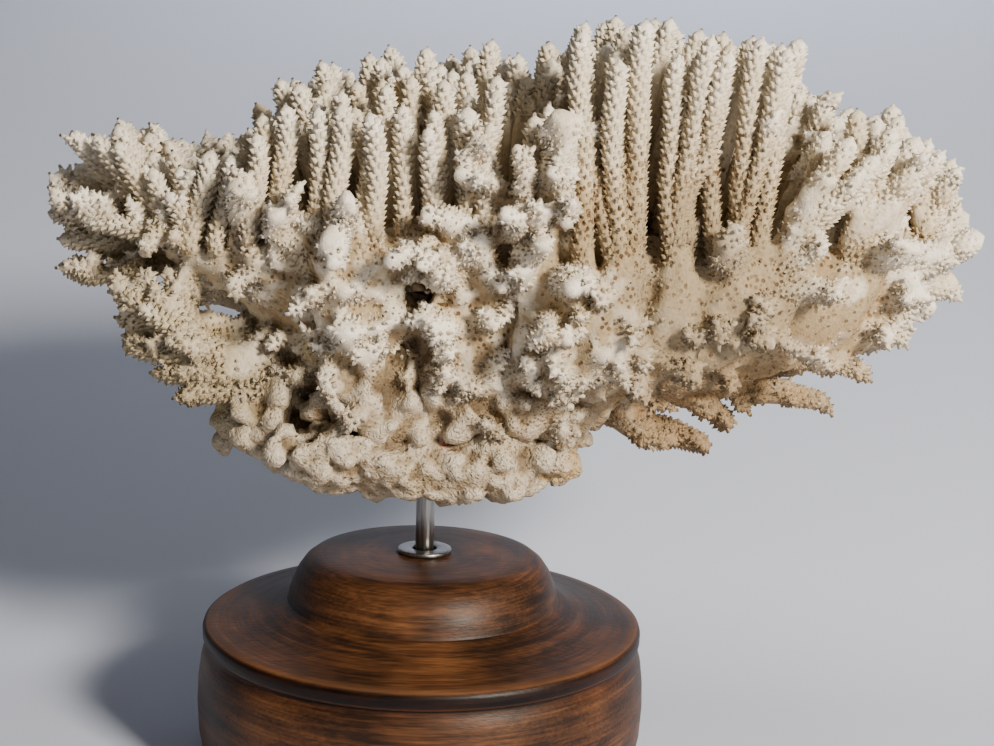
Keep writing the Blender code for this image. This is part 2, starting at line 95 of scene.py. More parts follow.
# Reach of the fused coral from the stem's axis: height, then every 45 degrees from the right
BODY = [
    (150.3, 56, 55, 48, 55, 72, 76, 54, 54),
    (164.0, 86, 70, 60, 64, 76, 78, 57, 62),
    (178.0, 132, 92, 72, 74, 78, 78, 58, 80),
    (192.0, 166, 110, 84, 88, 88, 81, 61, 92),
    (207.0, 181, 123, 92, 105, 112, 88, 64, 99),
    (222.0, 184, 127, 95, 116, 144, 98, 66, 99),
    (234.0, 158, 108, 80, 100, 132, 84, 50, 82),
]
ROOT = [
    (123.5, 40, 36, 26, 26, 22, 30, 38, 44),
    (128.0, 54, 48, 40, 44, 46, 56, 49, 56),
    (136.0, 62, 56, 48, 56, 70, 72, 52, 61),
    (144.0, 66, 58, 50, 62, 84, 81, 52, 61),
    (149.0, 62, 54, 46, 60, 87, 80, 49, 58),
]
ROOT_KNOBS = [
    (14, -51, 140, 7), (32, -50, 142, 7), (48, -42, 141, 8), (56, -30, 138, 10), (36, -46, 131, 8),
    (-6, -51, 133, 7), (-20, -53, 140, 9), (-40, -58, 138, 9), (-57, -58, 145, 9),
    (-70, -46, 147, 9), (-77, -24, 151, 12), (-80, 8, 147, 11), (-30, 50, 141, 8),
]
CROWN_LINE = [
    (-155, 246), (-142, 264), (-125, 272), (-110, 264), (-96, 259), (-84, 266), (-70, 280),
    (-55, 292), (-40, 299), (-20, 302), (0, 304), (12, 304), (22, 309), (38, 303), (50, 311),
    (70, 317), (100, 317), (125, 313), (142, 310), (152, 290), (170, 284), (190, 282), (205, 266),
    (226, 260),
]
CROWN_X, CROWN_Y = 35.0, 8.0
CROWN_REACH_X, CROWN_REACH_FRONT, CROWN_REACH_BACK = 190.0, 84.0, 96.0
EDGE_POWER = 2.3                # how square the crown's edge is in plan
CROWN_PITCH = 22.0
CROWN_ROWS, CROWN_COLUMNS = 7, 13
FINGER_JITTER, BETWEEN_JITTER = 3.5, 2.6
TIP_SHIFT = (-9.0, 2.0)         # how much lower or higher a tip stands than the crown's line
PIPES_FROM, PIPES_TO = 55.0, 150.0  # the tall straight fingers at the right, in x
FALL_FRONT, FALL_SPARED, FALL_BACK = 0.30, 0.20, 0.22   # fall of the crown to its front and back
CROWN_ROOT = 215.0
CROWN_SPREAD, EDGE_SPREAD, EDGE_AWAY = 0.72, 0.16, 160.0
FINGER_FOOT_RADIUS, FINGER_TIP_RADIUS = 4.9, 4.1

CROWN_FOOT, CROWN_FRONT = 222.0, 8.0
SEEN_PLANE = -60.0
FRONTMOST_Y, UNSEEN_Y = -110, -30.0
CAMERA_X, CAMERA_Y, CAMERA_Z = 28.5, -661.0, 281.8
STUB_ROOT_DEPTH = 9.0           # how deep a stub is rooted in the fused coral
STUB_ROOT_SIZE, STUB_TIP_SIZE = 1.12, 0.88
# Stubs seen from the front on the plane above: tip x, tip z, root x, root z, reach, radius
FRONT_STUBS = [
    (-108, 219, -96, 231, 14, 4.6), (-93, 213, -80, 217, 15, 4.5), (-90, 204, -80, 211, 18, 4.7),
    (-70, 247, -68, 236, 14, 8.0), (-57, 237, -57, 228, 14, 6.2), (-52, 244, -50, 235, 8, 4.6),
    (-30, 244, -31, 235, 13, 5.6), (-35, 230, -33, 221, 18, 6.4), (-36, 217, -33, 227, 13, 4.4),
    (-69, 224, -66, 215, 14, 6.4), (-52, 225, -50, 215, 13, 5.6), (-58, 205, -66, 212, 14, 5.0),
    (-48, 204, -38, 208, 17, 5.0), (-32, 208, -22, 207, 14, 5.0),
    (18, 265, 20, 256, 14, 6.8), (11, 254, 28, 251, 14, 5.4), (33, 266, 38, 246, 10, 5.4),
    (43, 242, 38, 234, 14, 5.2), (29, 240, 38, 234, 18, 5.2), (44, 229, 38, 224, 17, 5.4),
    (50, 278, 50, 258, 11, 7.4), (46, 256, 50, 249, 14, 5.0), (52, 235, 54, 247, 12, 4.8),
    (-1, 240, 16, 232, 12, 6.8), (17, 231, 34, 221, 10, 7.6), (-14, 218, 4, 229, 20, 4.2),
    (-3, 218, 10, 224, 22, 4.2), (5, 210, 18, 219, 18, 4.8), (33, 211, 22, 220, 16, 5.4),
    (3, 194, 17, 201, 16, 6.2), (11, 174, 18, 187, 12, 4.6), (-31, 191, -14, 199, 15, 6.2),
    (-3, 199, -14, 200, 12, 5.0), (-18, 183, -17, 196, 12, 4.2), (56, 211, 47, 217, 21, 6.0),
    (44, 192, 48, 203, 20, 6.0), (55, 191, 49, 199, 18, 5.2), (50, 184, 48, 191, 12, 4.8),
    (69, 210, 62, 203, 14, 5.0), (72, 188, 84, 195, 14, 4.8), (88, 186, 84, 195, 12, 4.8),
    (81, 198, 84, 204, 16, 5.4), (56, 155, 54, 165, 6, 4.4), (113, 232, 113, 217, 16, 8.0),
    (152, 231, 150, 222, 11, 4.8), (129, 205, 130, 213, 14, 6.0), (114, 196, 107, 208, 14, 4.6),
    (103, 191, 106, 202, 10, 4.6), (157, 214, 150, 217, 12, 6.0), (188, 215, 172, 212, 12, 7.0),
    (186, 232, 170, 226, 13, 7.0), (155, 185, 142, 203, 8, 4.4), (179, 198, 160, 202, 6, 5.0),
    (-42, 191, -33, 175, 11, 5.0), (-29, 186, -22, 195, 12, 4.6), (-57, 187, -53, 179, 11, 5.2),
    (-68, 185, -60, 179, 12, 5.0), (-62, 194, -58, 186, 10, 4.8), (-74, 191, -64, 185, 10, 4.4),
    (-85, 197, -68, 180, 13, 4.8), (66, 176, 70, 186, 10, 5.0),
    (20, 170, 22, 178, 8, 5.0), (98, 178, 100, 188, 9, 5.0), (134, 192, 128, 200, 12, 5.4),
]
# Branches by their own root and tip: x, y, z, x, y, z, radius at root and tip
BRANCHES = [
    (-38, -26, 168, -92, -46, 183, 10.0, 8.0), (-88, -45, 181, -122, -47, 208, 6.2, 4.6),
    (-84, -42, 182, -101, -46, 214, 6.2, 4.8), (-88, -45, 183, -112, -47, 210, 5.4, 4.4),
    (-84, -44, 178, -120, -48, 194, 5.6, 4.4), (-78, -44, 176, -117, -50, 183, 5.6, 4.4),
    (-70, -42, 173, -106, -52, 173, 5.6, 4.4), (-60, -38, 170, -94, -50, 163, 6.5, 5.0),
    (-82, -45, 180, -108, -62, 201, 5.6, 4.2), (-78, -44, 180, -98, -62, 188, 5.0, 4.2),
    (-48, -32, 163, -71, -46, 167, 8.5, 7.0),
    (-86, -16, 221, -141, -30, 207, 6.4, 5.0), (-86, -20, 220, -146, -34, 222, 6.0, 5.0),
    (-88, -18, 220, -152, -28, 232, 6.0, 5.0), (-80, -34, 219, -132, -52, 233, 6.0, 5.0),
    (-90, 0, 220, -154, 6, 226, 6.0, 4.6), (-90, -10, 220, -155, -12, 242, 6.0, 4.4),
    (-96, 14, 220, -148, 28, 238, 6.0, 4.4), (-94, -16, 218, -134, -20, 216, 6.0, 4.8),
    (92, -10, 172, 164, -18, 164, 6.4, 4.6), (96, -4, 168, 128, -12, 153, 5.6, 4.0),
    (62, -4, 160, 117, -14, 143, 7.0, 5.2), (74, -8, 157, 98, -18, 143, 5.6, 4.4),
    (166, -8, 206, 215, -14, 214, 7.0, 5.2), (168, -20, 212, 220, -30, 234, 7.0, 5.2),
    (168, 6, 216, 224, 4, 240, 7.0, 4.8), (166, 4, 202, 213, 10, 201, 6.4, 4.8),
    (160, -6, 196, 199, -10, 194, 6.4, 4.8), (150, 2, 190, 190, 8, 186, 6.2, 4.6),
    (140, -14, 186, 178, -22, 178, 6.0, 4.6), (166, 14, 212, 214, 30, 222, 6.6, 4.8),
]
HIDDEN_ROWS = [(178.0, 27.0), (206.0, 22.0)]
HIDDEN_FROM, HIDDEN_TO = 22.0, 172.0
HIDDEN_OUT, HIDDEN_RISE = 18.0, 8.0
HIDDEN_DEPTH = 12.0
HIDDEN_ROOT_RADIUS, HIDDEN_TIP_RADIUS = 5.6, 4.4

# What the solids leave to the fine surface

EXTRA_SHARE = 0.86              # share of the gaps between fingers that hold a thinner finger
EXTRA_EDGE = 0.985              # the thinner fingers keep this far inside the crown's edge
EXTRA_SINK = (2.0, 15.0)        # how far their tips stand below the crown's line
EXTRA_SIZE, LOBED_SIZE, BUSHY_SIZE = 0.88, 1.28, 1.08
FLESH = 0.83                    # a finger's bare radius, of its radius over the cups
TUBE_SIDES, SUNKEN_SIDES = 8, 7
TUBE_STEP, FUSED_STEP = 6.5, 6.0    # length between the points of a free and of a fused finger
SUNKEN_SWELL = 1.06             # a finger's thickness inside the fused coral, of that outside
CUP_PITCH = 2.65                # spacing of the cups on a finger
STUB_PITCH, HIDDEN_PITCH = 2.6, 3.5
HIDDEN_BEYOND = 36.0            # the crown's fingers beyond this y have fewer cups
CUP_TILT = 1.7                  # how far the cups lean towards the finger's tip
CUP_HEIGHT = 2.2
CUP_SIDES, PORE_SIDES = 4, 5
CUP_WALL = ((1.25, -0.9), (0.86, 0.8))      # radius and height at its foot and at its rim
PORE_WALL = ((1.15, -0.25), (0.66, 0.42))
INNER_COVER = 15.0              # length of cups on fingers inside the crown
STUB_COVER = 26.0
INNER_MERGE = 24.0              # how much of an inner finger's foot has fused
EDGE = 0.55                     # from here on a finger counts as one of the crown's edge
PIPE_STARTS = (172.0, 184.0, 196.0)     # where the edge's fingers leave the fused surface
PIPE_INSETS = (0.5, 3.0, 7.0)   # how deep they lie in it
PIPE_LEAVES = 222.0             # above this they stand free
PIPE_MERGE = 12.0
LOBED_FROM = 138.0              # right of this the fingers have grown into blunt lobes
BUSHY_UP_TO = -84.0             # left of this they are bushes of short twigs
THICK_FROM = 185.0              # right of this the branches are thickest
FAN_UP_TO = (-90.0, -40.0, 216.0)   # the fan of thin branches is left of, before and below this
TUFTS_UP_TO = -125.0            # left of this the branches are tufts of twigs
OLD_FOOT = 150.0                # the root mass ends here
OLD_HEIGHT = 172.0              # below this the surface is old, worn and knobbly
OLD_AGE = 80.0                  # age of the oldest skin, in millimetres grown since
KNOB_PITCH = 12.0               # spacing of the side knobs on the fused surface
KNOB_ROOT = 5.0                 # how deep they are rooted in it
KNOB_RADII, OLD_KNOB_RADII = (4.2, 5.6), (3.4, 6.0)
KNOB_CUP, KNOB_AGE, OLD_KNOB_AGE = 0.55, 12.0, 14.0
RIB_STARTS = (166.0, 150.0, 178.0)
RIB_TOP, RIB_SPACING, RIB_LEVEL = 214.0, 16.0, 206.0
RIB_INSET, RIB_RADIUS, RIB_SWELL, RIB_AGE = 3.4, 5.2, 1.8, 45.0
PORE_SPACING, ROOT_PORE_SPACING = 4.4, 3.0
LIMB_PORES_TO, ROOT_PORES_TO = 240.0, 153.0     # no pores above these heights
PORE_AGE = 9.0                  # younger skin has no pores
VOXEL, ROOT_VOXEL = 1.9, 1.6    # grain of the fused surface
KEPT, ROOT_KEPT = 0.34, 0.36    # share of its faces that is kept
RELIEF = [(11.0, 1.8), (5.0, 1.5)]              # wavelength and height of its unevenness
ROOT_RELIEF = [(11.0, 2.0), (5.0, 2.2), (2.4, 1.1)]
WEB = 5.0                       # how far each limb has grown into the next at the forks
WEDGE_FLOOR, WEDGE_INSET, WEDGE_COLUMNS = 143.0, 6.0, 12
UNDERCUT, UNDERCUT_BELOW = 0.09, 152.0          # rounding of the limbs' lower edge
GOLDEN_TURN = 2.399963          # angle from one cup to the next
SMALL_KNOBS, UNDER_KNOBS = 250, 60      # on the root's side and under it
# Smooth pored plate on the camera's side: low and high x, low and high z
PLATE = (58.0, 150.0, 192.0, 238.0)
# Sunken holes seen on the camera's side: x, z, radius, depth
HOLES = [(-63, 171, 2.6, 5.0), (-59, 167, 1.6, 4.0), (-55, 164, 1.2, 3.0), (-28, 165, 1.2, 3.0),
         (17, 132, 1.8, 4.0), (-5, 188, 4.0, 13.0), (-46, 233, 4.0, 8.0),
         (-1, 207, 4.0, 12.0), (20, 234, 6.0, 9.0), (-22, 203, 3.0, 5.0), (84, 237, 3.4, 6.0),
         (30, 205, 3.4, 5.0), (62, 214, 2.6, 4.0), (38, 170, 2.6, 4.0), (-12, 172, 2.2, 3.5)]
# Round knobs of the old skin seen on the camera's side: x, z, radius
OLD_KNOBS = [
    (10, 168, 4.5), (20, 160, 4.9), (13, 142, 4.9), (27, 150, 5.6), (20, 132, 5.3), (3, 140, 3.4),
    (-38, 153, 6.4), (-16, 154, 4.5), (-13, 141, 5.3), (-63, 147, 4.1), (-76, 149, 4.5),
    (-54, 167, 4.5), (-57, 157, 5.3), (-69, 160, 4.5), (-27, 167, 3.8),
    (29, 173, 3.4), (45, 149, 4.5), (58, 143, 5.3), (53, 139, 4.5), (37, 162, 3.8), (56, 163, 3.8),
    (-46, 138, 4.5), (-31, 135, 4.5), (-2, 132, 4.5), (39, 137, 4.5), (-29, 145, 4.5),
    (0, 152, 3.8), (63, 154, 3.8),
]
# Fused column under one limb: its line and radii, and where the knobs stand on it
COLUMN_LIMB = "coral_limb_front_left"
COLUMN_LINE = [(-56, -38, 172), (-60, -41, 160), (-62, -44, 146)]
COLUMN_RADII = [9.0, 7.6, 9.5]
COLUMN_X, COLUMN_Y = -50.0, -50.0
# Smooth pale patches: x, z, width, height
PATCHES = [(-63, 166, 9.0, 8.0), (-37, 167, 17.0, 8.0)]
# Tinted spots on the camera's side: x, z, radius, colour, strength. The large dull ones over the
# fan, the lower right and the plate are partly their tan colour and partly painted shade; the two
# dark ones at the holes near z 230 are painted shade
TINTS_AND_SHADE = [(68, 227, 11.0, "#F2DA8C", 0.9), (62, 204, 9.0, "#D8B468", 0.7),
         (-104, 186, 66.0, "#9C8A64", 0.65), (-84, 168, 14.0, "#D2BE80", 0.6),
         (110, 165, 58.0, "#937650", 0.8), (160, 190, 34.0, "#A88C64", 0.5),
         (102, 212, 54.0, "#97866A", 0.85),
         (56, 142, 13.0, "#C49A52", 0.8), (9, 150, 4.0, "#C08876", 0.6),
         (20, 160, 6.0, "#7C5C40", 0.85), (-39, 187, 9.0, "#DCC68E", 0.7),
         (20, 236, 10.0, "#9A7448", 0.8), (-46, 228, 8.0, "#A07C50", 0.8)]


def vec(*numbers):
    """Numbers as an array that can be reckoned with."""
    return np.array(numbers, float)


def blend_rows(rows, height):
    """Row of radii at a height, between the two nearest rows."""
    if height <= rows[0][0]:
        return rows[0][1:]
    for low, high in zip(rows, rows[1:]):
        if height <= high[0]:
            share = (height - low[0]) / (high[0] - low[0])
            return [a + (b - a) * share for a, b in zip(low[1:], high[1:])]
    return rows[-1][1:]


def reach(rows, degrees, height):
    """Radius of a lumpy body in one direction at one height."""
    row = blend_rows(rows, height)
    place = (degrees % 360.0) / 45.0
    index = int(place)
    share = 0.5 - 0.5 * math.cos(math.pi * (place - index))
    return row[index % 8] * (1.0 - share) + row[(index + 1) % 8] * share


def lumpy(degrees, height, seed):
    """Unevenness of the surface as a factor near one."""
    angle = math.radians(degrees)
    spot = Vector((LUMPS_AROUND * math.cos(angle), LUMPS_AROUND * math.sin(angle),
                   height / LUMP_HEIGHT + seed))
    return 1.0 + LUMP * 2.0 * noise.noise(spot)


def bearing(point):
    """Direction in plan of a point as the stem's axis sees it, in degrees from the right."""
    return math.degrees(math.atan2(point[1] - STEM_Y, point[0] - STEM_X))


def from_stem(degrees, away, height):
    """The point at a distance from the stem's axis, in a direction and at a height."""
    angle = math.radians(degrees)
    return vec(STEM_X + away * math.cos(angle), STEM_Y + away * math.sin(angle), height)


def fused_reach(row, degrees, height):
    """Radius of a limb's fused part in one direction, with its clefts and lumps."""
    name, low, high = row
    share = ((degrees - low) % 360.0) / (high - low)
    depth = FORK_DEPTH * min(1.0, (height - LIMB_FLOOR) / CLEFT_RISE)
    cleft = 1.0 - depth * abs(2.0 * min(share, 1.0) - 1.0) ** 4
    return reach(BODY, degrees, height) * cleft * lumpy(degrees, height, low * 0.01)


def crown_height(x, y):
    """Height of the finger tips over a place in plan."""
    top = np.interp(x, [p[0] for p in CROWN_LINE], [p[1] for p in CROWN_LINE])
    away = y - CROWN_Y
    if away < 0.0:
        pipes = 1.0 if PIPES_FROM < x < PIPES_TO else 0.0
        fall = (FALL_FRONT - FALL_SPARED * pipes) * (away / CROWN_REACH_FRONT) ** 2
    else:
        fall = FALL_BACK * (away / CROWN_REACH_BACK) ** 2
    return CROWN_ROOT + (top - CROWN_ROOT) * (1.0 - fall)


def crown_edge(x, y):
    """How near a place in plan is to the crown's edge: 0 in the middle, 1 on it."""
    across = abs(x - CROWN_X) / CROWN_REACH_X
    along = abs(y - CROWN_Y) / (CROWN_REACH_FRONT if y < CROWN_Y else CROWN_REACH_BACK)
    return across ** EDGE_POWER + along ** EDGE_POWER


def finger_at(x, y, height):
    """Foot and tip of a crown finger whose tip stands over x, y."""
    share = CROWN_SPREAD + EDGE_SPREAD * min(
        1.0, math.hypot(x - STEM_X, y - STEM_Y) / EDGE_AWAY) ** 2
    foot = vec(STEM_X + (x - STEM_X) * share, STEM_Y + (y - STEM_Y) * share, CROWN_ROOT)
    return foot, vec(x, y, height)


def crown_fingers():
    """The crown's fingers of the solids, and the places of the thinner ones between them."""
    dice = random.Random(11)
    between_dice = random.Random(23)
    fingers, between = [], []
    row_step = CROWN_PITCH * math.sqrt(3.0) / 2.0
    for row in range(-CROWN_ROWS, CROWN_ROWS + 1):
        for column in range(-CROWN_COLUMNS, CROWN_COLUMNS + 1):
            x = CROWN_X + (column + 0.5 * (row % 2)) * CROWN_PITCH
            y = CROWN_Y + row * row_step
            for side in (-1.0, 1.0):
                if between_dice.random() < EXTRA_SHARE:
                    aside, ahead = (between_dice.uniform(-BETWEEN_JITTER, BETWEEN_JITTER)
                                    for _ in range(2))
                    between.append((x + 0.5 * CROWN_PITCH + aside,
                                    y + side * row_step / 3.0 + ahead))
            x += dice.uniform(-FINGER_JITTER, FINGER_JITTER)
            y += dice.uniform(-FINGER_JITTER, FINGER_JITTER)
            shift = dice.uniform(*TIP_SHIFT)
            if crown_edge(x, y) > 1.0:
                continue
            foot, tip = finger_at(x, y, crown_height(x, y) + shift)
            fingers.append((foot, tip, FINGER_FOOT_RADIUS, FINGER_TIP_RADIUS))
    return fingers, between


def place_seen(x, z, y):
    """A point seen at x, z on the front plane, moved along the line of sight to the depth y."""
    share = (y - CAMERA_Y) / (SEEN_PLANE - CAMERA_Y)
    return vec(CAMERA_X + (x - CAMERA_X) * share, y, CAMERA_Z + (z - CAMERA_Z) * share)


def front_depth(x, z):
    """Depth of the fused surface on the camera's side at x, z."""
    for y in range(FRONTMOST_Y, 0, 2):
        away = math.hypot(x - STEM_X, y - STEM_Y)
        if away <= reach(BODY, bearing((x, y)), z) * (1.0 - 0.5 * FORK_DEPTH):
            return float(y)
    return UNSEEN_Y


def front_stubs():
    """Roots and tips of the stubs on the camera's side, and the bend of those over the rim."""
    stubs = []
    for tip_x, tip_z, root_x, root_z, out, radius in FRONT_STUBS:
        surface = front_depth(root_x, min(root_z, CROWN_FOOT))
        bend = None
        if root_z > CROWN_FOOT:
            surface -= CROWN_FRONT
            bend = place_seen(root_x, root_z, surface - 1.0)
        foot = place_seen(root_x, root_z, surface + STUB_ROOT_DEPTH)
        tip = place_seen(tip_x, tip_z, surface - out)
        stubs.append((foot, tip, radius * STUB_ROOT_SIZE, radius * STUB_TIP_SIZE, bend))
    return stubs


def hidden_stubs():
    """Roots and tips of the side stubs on the far side."""
    dice = random.Random(5)
    stubs = []
    for height, step in HIDDEN_ROWS:
        degrees = HIDDEN_FROM + dice.uniform(0.0, step)
        while degrees < HIDDEN_TO:
            angle = math.radians(degrees)
            start = reach(BODY, degrees, height) - HIDDEN_DEPTH
            end = start + HIDDEN_DEPTH + HIDDEN_OUT * dice.uniform(0.6, 1.1)
            rise = HIDDEN_RISE * dice.uniform(0.2, 1.6)
            turn = math.radians(dice.uniform(-3.0, 3.0))
            foot = from_stem(degrees, start, height)
            tip = vec(STEM_X + end * math.cos(angle + turn),
                      STEM_Y + end * math.sin(angle + turn), height + rise)
            stubs.append((foot, tip, HIDDEN_ROOT_RADIUS, HIDDEN_TIP_RADIUS, None))
            degrees += step * dice.uniform(0.85, 1.15)
    return stubs


def limb_of(tip):
    """The limb whose fork a tip stands over, or the stem."""
    away = math.hypot(tip[0] - STEM_X, tip[1] - STEM_Y)
    if away * CROWN_SPREAD < STEM_RADIUS - 2.0 * STEM_MARGIN:
        return STEM
    for name, low, high in LIMBS:
        if (bearing(tip) - low) % 360.0 < high - low:
            return name
    return LIMBS[0][0]


def keep_between_forks(point, name, margin):
    """Move a point until it is clear of the planes where its limb forks from its neighbours."""
    for limb, low, high in LIMBS:
        if limb != name:
            continue
        for degrees, side in ((low, 1.0), (high, -1.0)):
            angle = math.radians(degrees)
            normal = vec(-math.sin(angle), math.cos(angle), 0.0) * side
            clear = float(np.dot(point - vec(STEM_X, STEM_Y, 0.0), normal))
            if clear < margin:
                point = point + normal * (margin - clear)
    return point


def plan_limit(point, limit, outwards):
    """Hold a point's distance from the stem's axis under a limit, or over it."""
    away = point[:2] - vec(STEM_X, STEM_Y)
    length = float(np.hypot(*away))
    if (length > limit) != outwards:
        away = away / max(length, 1e-6) * limit
    return vec(STEM_X + away[0], STEM_Y + away[1], point[2])


def sink(point, row):
    """Draw a finger's foot inwards until it sits in the fused coral."""
    height = min(max(point[2], LIMB_FLOOR), BODY[-1][0])
    moved = plan_limit(point, fused_reach(row, bearing(point), height) - FOOT_DEPTH, False)
    moved[2] = min(point[2], BODY[-1][0] - FOOT_DEPTH)
    return moved


def limb_row(name):
    """A limb's row of the table above, by its name."""
    return next(row for row in LIMBS if row[0] == name)


def settle(foot, tip, foot_radius, tip_radius, free):
    """Place a branch in its piece as the solids have it. Returns the piece and both ends."""
    name = limb_of(tip)
    if name == STEM:
        return (name, plan_limit(foot, STEM_RADIUS - foot_radius - STEM_MARGIN, False),
                plan_limit(tip, STEM_RADIUS - tip_radius - STEM_MARGIN, False))
    margin = foot_radius + 0.5 * GAP + FORK_MARGIN
    if not free:
        for _ in range(SETTLING_STEPS):
            foot = sink(keep_between_forks(foot, name, margin), limb_row(name))
    foot = keep_between_forks(foot, name, margin)
    tip = keep_between_forks(tip, name, tip_radius + 0.5 * GAP + FORK_MARGIN)
    return name, plan_limit(foot, LIMB_START + foot_radius + GAP, True), tip


class Branch:
    """A centre line with a radius at each point, from foot to tip."""

    def __init__(self, line, radius, cover, age=0.0, pitch=CUP_PITCH, cup=1.0, merge=1e6,
                 bare=0.0):
        self.line = np.asarray(line, float)
        self.radius = np.asarray(radius, float)
        self.cover = cover                  # length from the tip that carries cups
        self.age = age                      # distance to add to the distance from the tip
        self.pitch = pitch
        self.cup = cup
        self.merge = merge                  # length from the foot that has fused with the rest
        self.bare = bare                    # worn length at the tip without cups
        steps = np.linalg.norm(np.diff(self.line, axis=0), axis=1)
        self.along = np.concatenate([[0.0], np.cumsum(steps)])
        self.length = self.along[-1]

    def part(self, low, high, swell=1.0):
        """The stretch between two lengths from the foot."""
        keep = (self.along >= low) & (self.along <= high)
        if keep.sum() < 3:
            keep = np.abs(self.along - 0.5 * (low + high)).argsort()[:3]
            keep.sort()
        made = Branch(self.line[keep], self.radius[keep] * swell, 0.0)
        made.age = self.age + self.length - self.along[keep][-1]
        return made

    def frames(self):
        """Tangent and two sides at each point, carried along without twist."""
        tangent = np.gradient(self.line, axis=0)
        tangent /= np.linalg.norm(tangent, axis=1)[:, None]
        start = vec(0.0, 0.0, 1.0) if abs(tangent[0][2]) < 0.8 else vec(1.0, 0.0, 0.0)
        side = np.cross(tangent[0], start)
        sides = []
        for direction in tangent:
            side = side - direction * np.dot(side, direction)
            side = side / np.linalg.norm(side)
            sides.append(side)
        sides = np.array(sides)
        return tangent, sides, np.cross(tangent, sides)


def uneven(count, dice, amount=0.09):
    """Factors near one, drawn for each point of a finger."""
    return 1.0 + amount * np.array([dice.uniform(-1, 1) for _ in range(count)])


def grow(foot, tip, foot_radius, tip_radius, cover, dice, bend=0.05, blunt=False, via=None,
         **extra):
    """A slightly bent, uneven finger from its foot to just short of its tip."""
    foot, tip = np.asarray(foot, float), np.asarray(tip, float)
    way = tip - foot
    length = float(np.linalg.norm(way))
    way = way / length
    tip = tip - way * min(CUP_HEIGHT * 0.8, 0.2 * length)
    swing = vec(dice.gauss(0, 1), dice.gauss(0, 1), dice.gauss(0, 0.4))
    swing -= way * np.dot(swing, way)
    count = max(5, int(length / TUBE_STEP) + 2)
    share = np.linspace(0.0, 1.0, count)
    line = foot + (tip - foot) * share[:, None]
    line += swing * (bend * length * 4.0 * share * (1.0 - share))[:, None] * 0.5
    if via is not None:
        line += (via - 0.5 * (foot + tip)) * (2.0 * share * (1.0 - share))[:, None] * 1.5
    radius = (foot_radius + (tip_radius - foot_radius) * share) * uneven(count, dice)
    left = (1.0 - share) * length
    taper = 0.8 if blunt else 0.76
    radius *= taper + (1.0 - taper) * np.clip(left / (2.6 * tip_radius), 0.0, 1.0) ** 0.6
    return Branch(line, radius * FLESH, cover, **extra)


def surface_point(row, degrees, height, inset):
    """A point of a limb's fused surface, or so far below it."""
    return from_stem(degrees, fused_reach(row, degrees, height) - inset, height)


def edge_pipe(row, foot, tip, radius, dice, start):
    """A finger of the crown's edge: it runs up the fused surface and then stands free."""
    heights = np.arange(start, PIPE_LEAVES, FUSED_STEP)
    wave = dice.uniform(0.0, 9.0)
    inset = dice.choice(PIPE_INSETS)
    lower = [surface_point(row, bearing(foot) + 2.0 * noise.noise(Vector((wave, h / 17.0, 0.5))),
                           h, inset) for h in heights]
    first, toward = lower[-1], lower[-1] - lower[-2]
    span = float(np.linalg.norm(tip - first))
    toward = toward / np.linalg.norm(toward) * span * 0.6
    leave = (tip - foot) / np.linalg.norm(tip - foot) * span
    upper = []
    for t in np.linspace(0.0, 1.0, max(5, int(span / FUSED_STEP)))[1:]:
        sway = noise.noise_vector(Vector((wave, t * span / 30.0, 2.0))) * 9.0 * t * (1.2 - t)
        upper.append(first * (2 * t ** 3 - 3 * t ** 2 + 1) + toward * (t ** 3 - 2 * t ** 2 + t)
                     + tip * (3 * t ** 2 - 2 * t ** 3) + leave * (t ** 3 - t ** 2) + vec(*sway))
    line = np.array(lower + upper)
    count = len(line)
    share = np.linspace(0.0, 1.0, count)
    body = np.where(np.arange(count) < len(lower), radius * 1.35, radius * (1.12 - 0.2 * share))
    body = body * uneven(count, dice, 0.08)
    body[-1] *= 0.8
    return Branch(line, body * FLESH, span, merge=len(lower) * FUSED_STEP + PIPE_MERGE)


def twigs(parent, dice, count, low, high, length, radius, up=0.0):
    """Short side twigs that leave a finger at an angle, or turn upwards."""
    made = []
    tangent, side, other = parent.frames()
    for _ in range(count):
        place = dice.uniform(low, high) * (len(parent.line) - 1)
        index = min(int(place), len(parent.line) - 2)
        foot = parent.line[index] + (parent.line[index + 1] - parent.line[index]) * (place - index)
        angle = dice.uniform(0.0, math.tau)
        away = side[index] * math.cos(angle) + other[index] * math.sin(angle)
        lean = dice.uniform(0.7, 1.3)
        way = away + tangent[index] * lean + vec(0.0, 0.0, up)
        way /= np.linalg.norm(way)
        reach_out = length * dice.uniform(0.7, 1.25) + parent.radius[index]
        made.append(grow(foot, foot + way * reach_out, radius * 1.15, radius, reach_out, dice,
                         bend=0.1, cup=0.9, age=0.7 * parent.age))
    return made


def outward(row, degrees, height):
    """Direction that points off the fused surface at one place."""
    angle = math.radians(degrees)
    slope = (fused_reach(row, degrees, height + 3.0)
             - fused_reach(row, degrees, height - 3.0)) / 6.0
    way = vec(math.cos(angle), math.sin(angle), -slope)
    return way / np.linalg.norm(way)


def on_plate(point):
    """Whether a point lies on the smooth pored plate of the camera's side."""
    x_low, x_high, z_low, z_high = PLATE
    return point[1] < -20.0 and x_low < point[0] < x_high and z_low < point[2] < z_high


